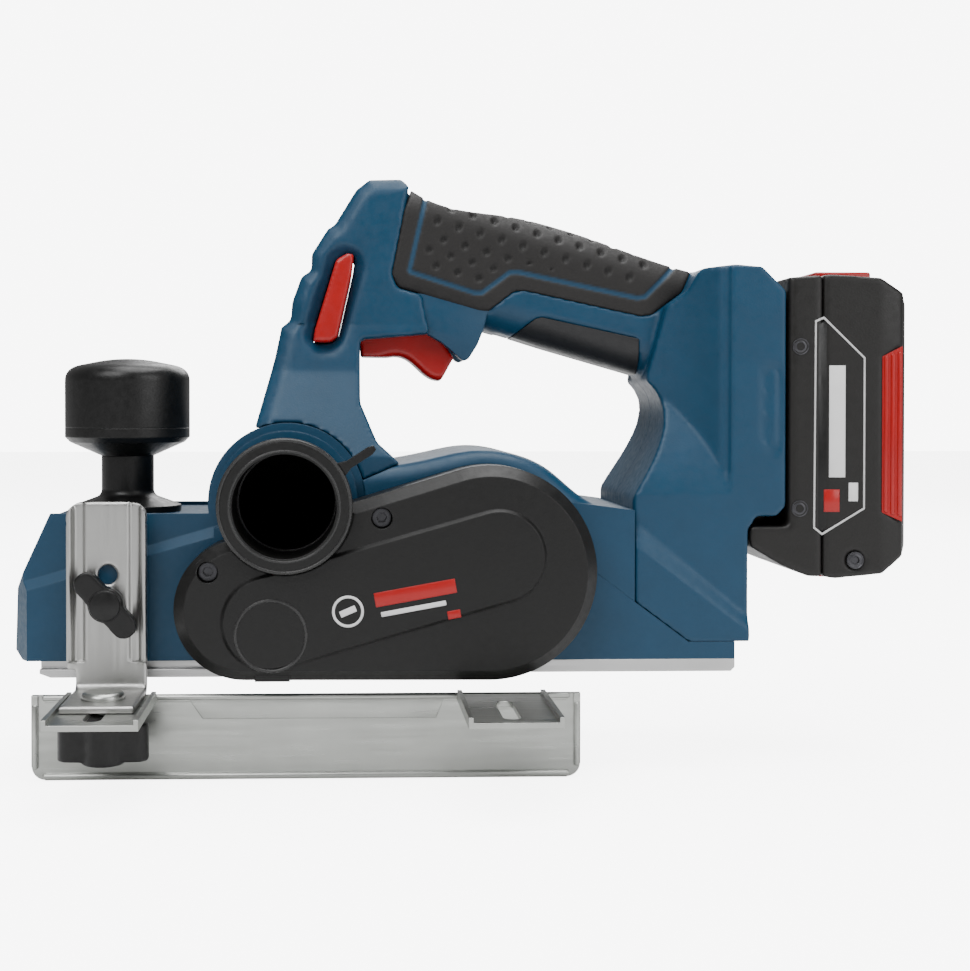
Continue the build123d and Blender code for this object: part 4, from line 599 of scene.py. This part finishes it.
def trigger_shroud():
    """The cheeks of the handle on each side of the trigger."""
    low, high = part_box("trigger")
    cheek = from_corner((low.x, high.z), [
        (-0.5, -11.4), (6.5, -7.6), (13.1, -6.1), (19.2, -6.7), (24.3, -8.4), (31.7, -12.7), (37.6, -17.7),
        (39.4, -19.4), (40.8, -19.7), (42.2, -19.0), (45.6, -13.6), (48.0, -7.6), (50.0, 0.5), (28.0, 6.5),
        (-2.5, 5.0), (-3.0, -13.5)])
    shroud = both_sides(plate(cheek, low.y - 0.0009, 0.0068))
    apply_modifier(shroud, "BEVEL", width=0.0008, segments=2, limit_method="ANGLE",
                   angle_limit=math.radians(50))
    settle(shroud, "trigger_shroud", blue_shell, "housing")


trigger_shroud()
handle_shells()
grip_skins()
rounded_skin("trigger_blade", ["trigger"], red_plastic, 0.0006, 14)
rounded_skin("lock_bar_cap", ["lock_off_bar"], red_plastic, 0.0006, 2, fill_the_slot)
rounded_skin("pack_base_skin", ["battery_base"], pack_black, 0.001, 3)
rounded_skin("pack_cover_skin", ["battery_cover"], pack_black, 0.0009, 4, roll_shoulders)
rounded_skin("guide_strap", ["guide_bracket"], strap_steel, 0.0006, 3, strap_profile)
rounded_skin("wing_grip", ["guide_wing_screw"], knob_black, 0.0005, 8)
rounded_skin("clamp_grip", ["fence_clamp_knob"], knob_black, 0.0006, 5)


# ------------------------------------------------------------------ marks and trims
def cover_marks():
    """The belt cover's cap ring and its plain nameplate."""
    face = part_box("belt_cover")[0].y
    drum_x, drum_z = middle_of(*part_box("cutter_drum"))
    # the cap ring's lighter black is painted highlight
    settle(ring((drum_x + 0.0008, drum_z - 0.0029), face + 0.0003, 0.0126, 0.0007),
           "cover_cap_ring", rim_black_painted_highlight, "housing")
    badge = (drum_x + 0.0283, drum_z + 0.0057)
    settle(joined([ring(badge, face + 0.0002, 0.0052, 0.00055),
                   printed_bar(badge, (-2.8, -1.2), (2.8, 1.2), 2.4, face + 0.0004, 0.0005)]),
           "nameplate_ring", white_print, "housing")
    slope = 0.18
    for name, start, end, above, width, material, slot in (
            ("nameplate_band", 9.5, 38.5, 2.2, 5.2, red_plastic, "red_plastic"),
            ("nameplate_line", 11.8, 35.0, -3.3, 1.8, white_print, "bright_steel"),
            ("nameplate_block", 35.5, 40.2, -8.0, 3.0, red_plastic, "red_plastic")):
        ends = [(along, above + along * slope) for along in (start, end)]
        settle(printed_bar(badge, *ends, width, face + 0.0004, 0.0006), name, material, "housing")


def wing_hub():
    """The round hub in the middle of the wing screw."""
    low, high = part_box("guide_wing_screw")
    hub_x, hub_z = middle_of(low, high)
    radius, sides = 0.0056, 48
    turns = [2 * math.pi * step / sides for step in range(sides)]
    outline = [(hub_x + radius * math.cos(turn), hub_z + radius * math.sin(turn)) for turn in turns]
    settle(plate(outline, low.y + 0.0010, 0.0017), "wing_hub", knob_black, "wing_screw")


def port_rims():
    """The dust port's outer and inner turned rims."""
    low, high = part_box("chip_deflector")
    rims = [ring(middle_of(low, high), low.y + 0.0004, radius, thick)
            for radius, thick in ((0.0234, 0.0007), (0.0196, 0.0006))]
    # the rims' lighter black is painted highlight
    settle(joined(rims), "port_rims", rim_black_painted_highlight, body_of_node["chip_deflector"])


def pack_label():
    """The battery's framed label field with plain bars, on both sides."""
    corner, face = (PACK_LOW.x, PACK_LOW.z), PACK_LOW.y
    frame_outline = from_corner(corner, [(-3.5, 96.9), (0, 98.5), (15.8, 83.1), (15.8, 26.2), (-0.5, 16.3),
                                         (-3.9, 19.0)])
    field_outline = from_corner(corner, [(-2.3, 95.3), (0.1, 96.7), (14.5, 82.5), (14.5, 27.0), (-0.5, 17.7),
                                         (-2.7, 19.6)])
    settle(both_sides(plate(frame_outline, face + 0.0003, 0.0004, 0.0008)), "label_frame", label_silver,
           "battery")
    settle(both_sides(plate(field_outline, face + 0.0003, 0.0002)), "label_field", black_shell, "battery")
    bars = [printed_bar(corner, start, end, width, face + 0.0001, 0.0003)
            for start, end, width in (((5.1, 38.1), (5.1, 80.1), 6.2), ((11.3, 29.1), (11.3, 36.1), 3.6))]
    settle(both_sides(joined(bars)), "label_bars", white_print, "battery")
    settle(both_sides(printed_bar(corner, (3.1, 25.1), (3.1, 33.6), 6.0, face + 0.0001, 0.0003)), "label_block",
           red_plastic, "battery")


def pack_fasteners():
    """The battery case's screw heads and its round plug, on both sides."""
    corner, face = (PACK_LOW.x, PACK_LOW.z), PACK_LOW.y
    heads = [socket_screw(*from_corner(corner, [spot])[0], face + sunk, radius)
             for spot, sunk, radius in (((-8.8, 87.2), 0.0004, 0.0031), ((-9.0, 26.4), 0.0004, 0.0031),
                                        ((12.1, 6.9), 0.0003, 0.0032))]
    settle(both_sides(joined(heads)), "pack_screw_heads", dark_steel, "battery")
    plug_x, plug_z = from_corner(corner, [(11.9, 107.2)])[0]
    settle(both_sides(socket_screw(plug_x, plug_z, face + 0.0016, 0.0036)), "pack_plug", black_shell, "battery")


def pack_grip_ridges():
    """Three upright ridges on each of the battery's red side grips."""
    low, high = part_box("battery_side_grips")
    ridges = []
    for step in range(3):
        x, short = low.x + 0.0014 + step * 0.0026, 0.0035 - 0.0007 * step
        for y in (low.y + 0.0002, high.y - 0.0002):
            ridges.append(bead((x, y, low.z + short), (x, y, high.z - short), 0.0009))
    settle(joined(ridges), "pack_grip_ridges", red_plastic, "battery")


def red_cap(name, body, place, size, dish=0.0):
    """A soft-edged red cap of a given size; with a dish its top is sunk inside a rim."""
    deselect()
    bpy.ops.mesh.primitive_cube_add(size=1, location=place, scale=size)
    cap = bpy.context.active_object
    bpy.ops.object.transform_apply(location=False, rotation=False, scale=True)
    if dish:
        edit_top(cap)
        bpy.ops.mesh.select_mode(type="FACE")
        bpy.ops.mesh.inset(thickness=0.0024)
        bpy.ops.transform.translate(value=(0, 0, -dish))
        leave()
    apply_modifier(cap, "BEVEL", width=0.0009, segments=3, limit_method="ANGLE")
    settle(cap, name, red_plastic, body)


def pack_caps():
    """The battery's release cap on top and its foot below."""
    low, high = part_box("battery_release")
    red_cap("release_cap", body_of_node["battery_release"], ((low.x + high.x) / 2, 0, PACK_HIGH.z + 0.0002),
            (high.x - low.x + 0.0026, 0.05, 0.0052), dish=0.0009)
    red_cap("pack_foot", "battery", (PACK_LOW.x + 0.0081, 0, PACK_LOW.z + 0.0002), (0.0105, 0.044, 0.0024))


def fence_trims():
    """The fence's folded strip between its tabs, and the beads round its edge."""
    low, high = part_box("guide_fence")
    body, face, bead_r = body_of_node["guide_fence"], high.y - 0.0023, 0.0011
    beads = [bead((low.x + 0.004, face, z), (high.x - 0.004, face, z), bead_r)
             for z in (low.z + 0.0013, high.z - 0.0026)]
    beads += [bead((x, face, low.z + 0.004), (x, face, high.z - 0.005), bead_r)
              for x in (low.x + 0.0013, high.x - 0.0013)]
    fold = from_corner(((low.x + high.x) / 2, high.z), [(-43, -3.2), (50, -3.2), (47, -10.5), (-38, -10.5)])
    settle(plate(fold, face, 0.0007), "fence_fold", guide_steel, body)
    settle(joined(beads), "fence_beads", guide_steel, body)


cover_marks()
wing_hub()
port_rims()
pack_label()
pack_fasteners()
pack_grip_ridges()
pack_caps()
fence_trims()

# ------------------------------------------------------------------ camera, floor and light
CAMERA_AT = Vector((-0.0659, -0.6171, 0.099))
CAMERA_TURN = math.radians(1.8)
CAMERA_DIP = math.radians(0.8)
camera_data = bpy.data.cameras.new("camera")
camera_data.lens = 57.82
camera_data.sensor_width = 36
camera_data.shift_x = 0.1
camera_data.shift_y = -0.06
camera = bpy.data.objects.new("camera", camera_data)
camera.location = CAMERA_AT
camera.rotation_euler = (math.pi / 2 - CAMERA_DIP, 0, -CAMERA_TURN)
bpy.context.scene.collection.objects.link(camera)
bpy.context.scene.camera = camera

FLOOR_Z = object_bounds()[0].z
bpy.ops.mesh.primitive_plane_add(size=8, location=(0, 0, FLOOR_Z - 0.0005))
floor = bpy.context.active_object
floor.name = "floor"
floor_finish = Finish("floor_paper", rough=0.9)
floor_finish.colour(floor_finish.blend(floor_finish.noise(3), (0.84, 0.84, 0.84), (0.87, 0.87, 0.87)))
floor_finish.shader.inputs["Emission Color"].default_value = (1, 1, 1, 1)
floor_seen = floor_finish.tree.nodes.new("ShaderNodeLightPath").outputs["Is Camera Ray"]
floor_glow = floor_finish.add("MapRange", Value=floor_seen, To_Min=0.05, To_Max=6.0)
floor_finish.tree.links.new(floor_glow.outputs["Result"], floor_finish.shader.inputs["Emission Strength"])
dress(floor, floor_finish.material)


def soft_light(name, place, target, size, power):
    """A square soft box aimed at a point."""
    data = bpy.data.lights.new(name, "AREA")
    data.shape = "RECTANGLE"
    data.size, data.size_y = size
    data.energy = power
    lamp = bpy.data.objects.new(name, data)
    lamp.location = place
    lamp.rotation_euler = (Vector(target) - Vector(place)).to_track_quat("-Z", "Y").to_euler()
    bpy.context.scene.collection.objects.link(lamp)


MIDDLE = (0, 0, 0.08)
soft_light("key", (-0.6, -1.0, 1.1), MIDDLE, (0.9, 0.9), 19)
soft_light("fill", (0.9, -0.9, 0.5), MIDDLE, (0.8, 0.8), 8)
soft_light("top", (0.1, 0.0, 1.4), MIDDLE, (1.4, 1.0), 34)
soft_light("back", (0.3, 1.3, 0.9), MIDDLE, (1.2, 0.8), 14)
world = bpy.data.worlds.new("studio")
bpy.context.scene.world = world
world.use_nodes = True
world.node_tree.nodes["Background"].inputs["Color"].default_value = (1, 1, 1, 1)
# the backdrop behind the object is bright paper, and the room round it is dimmer
world_tree = world.node_tree
seen = world_tree.nodes.new("ShaderNodeLightPath").outputs["Is Camera Ray"]
backdrop = world_tree.nodes.new("ShaderNodeMapRange")
backdrop.inputs["To Min"].default_value = 0.32
backdrop.inputs["To Max"].default_value = 8.0
world_tree.links.new(seen, backdrop.inputs["Value"])
world_tree.links.new(backdrop.outputs["Result"], world_tree.nodes["Background"].inputs["Strength"])
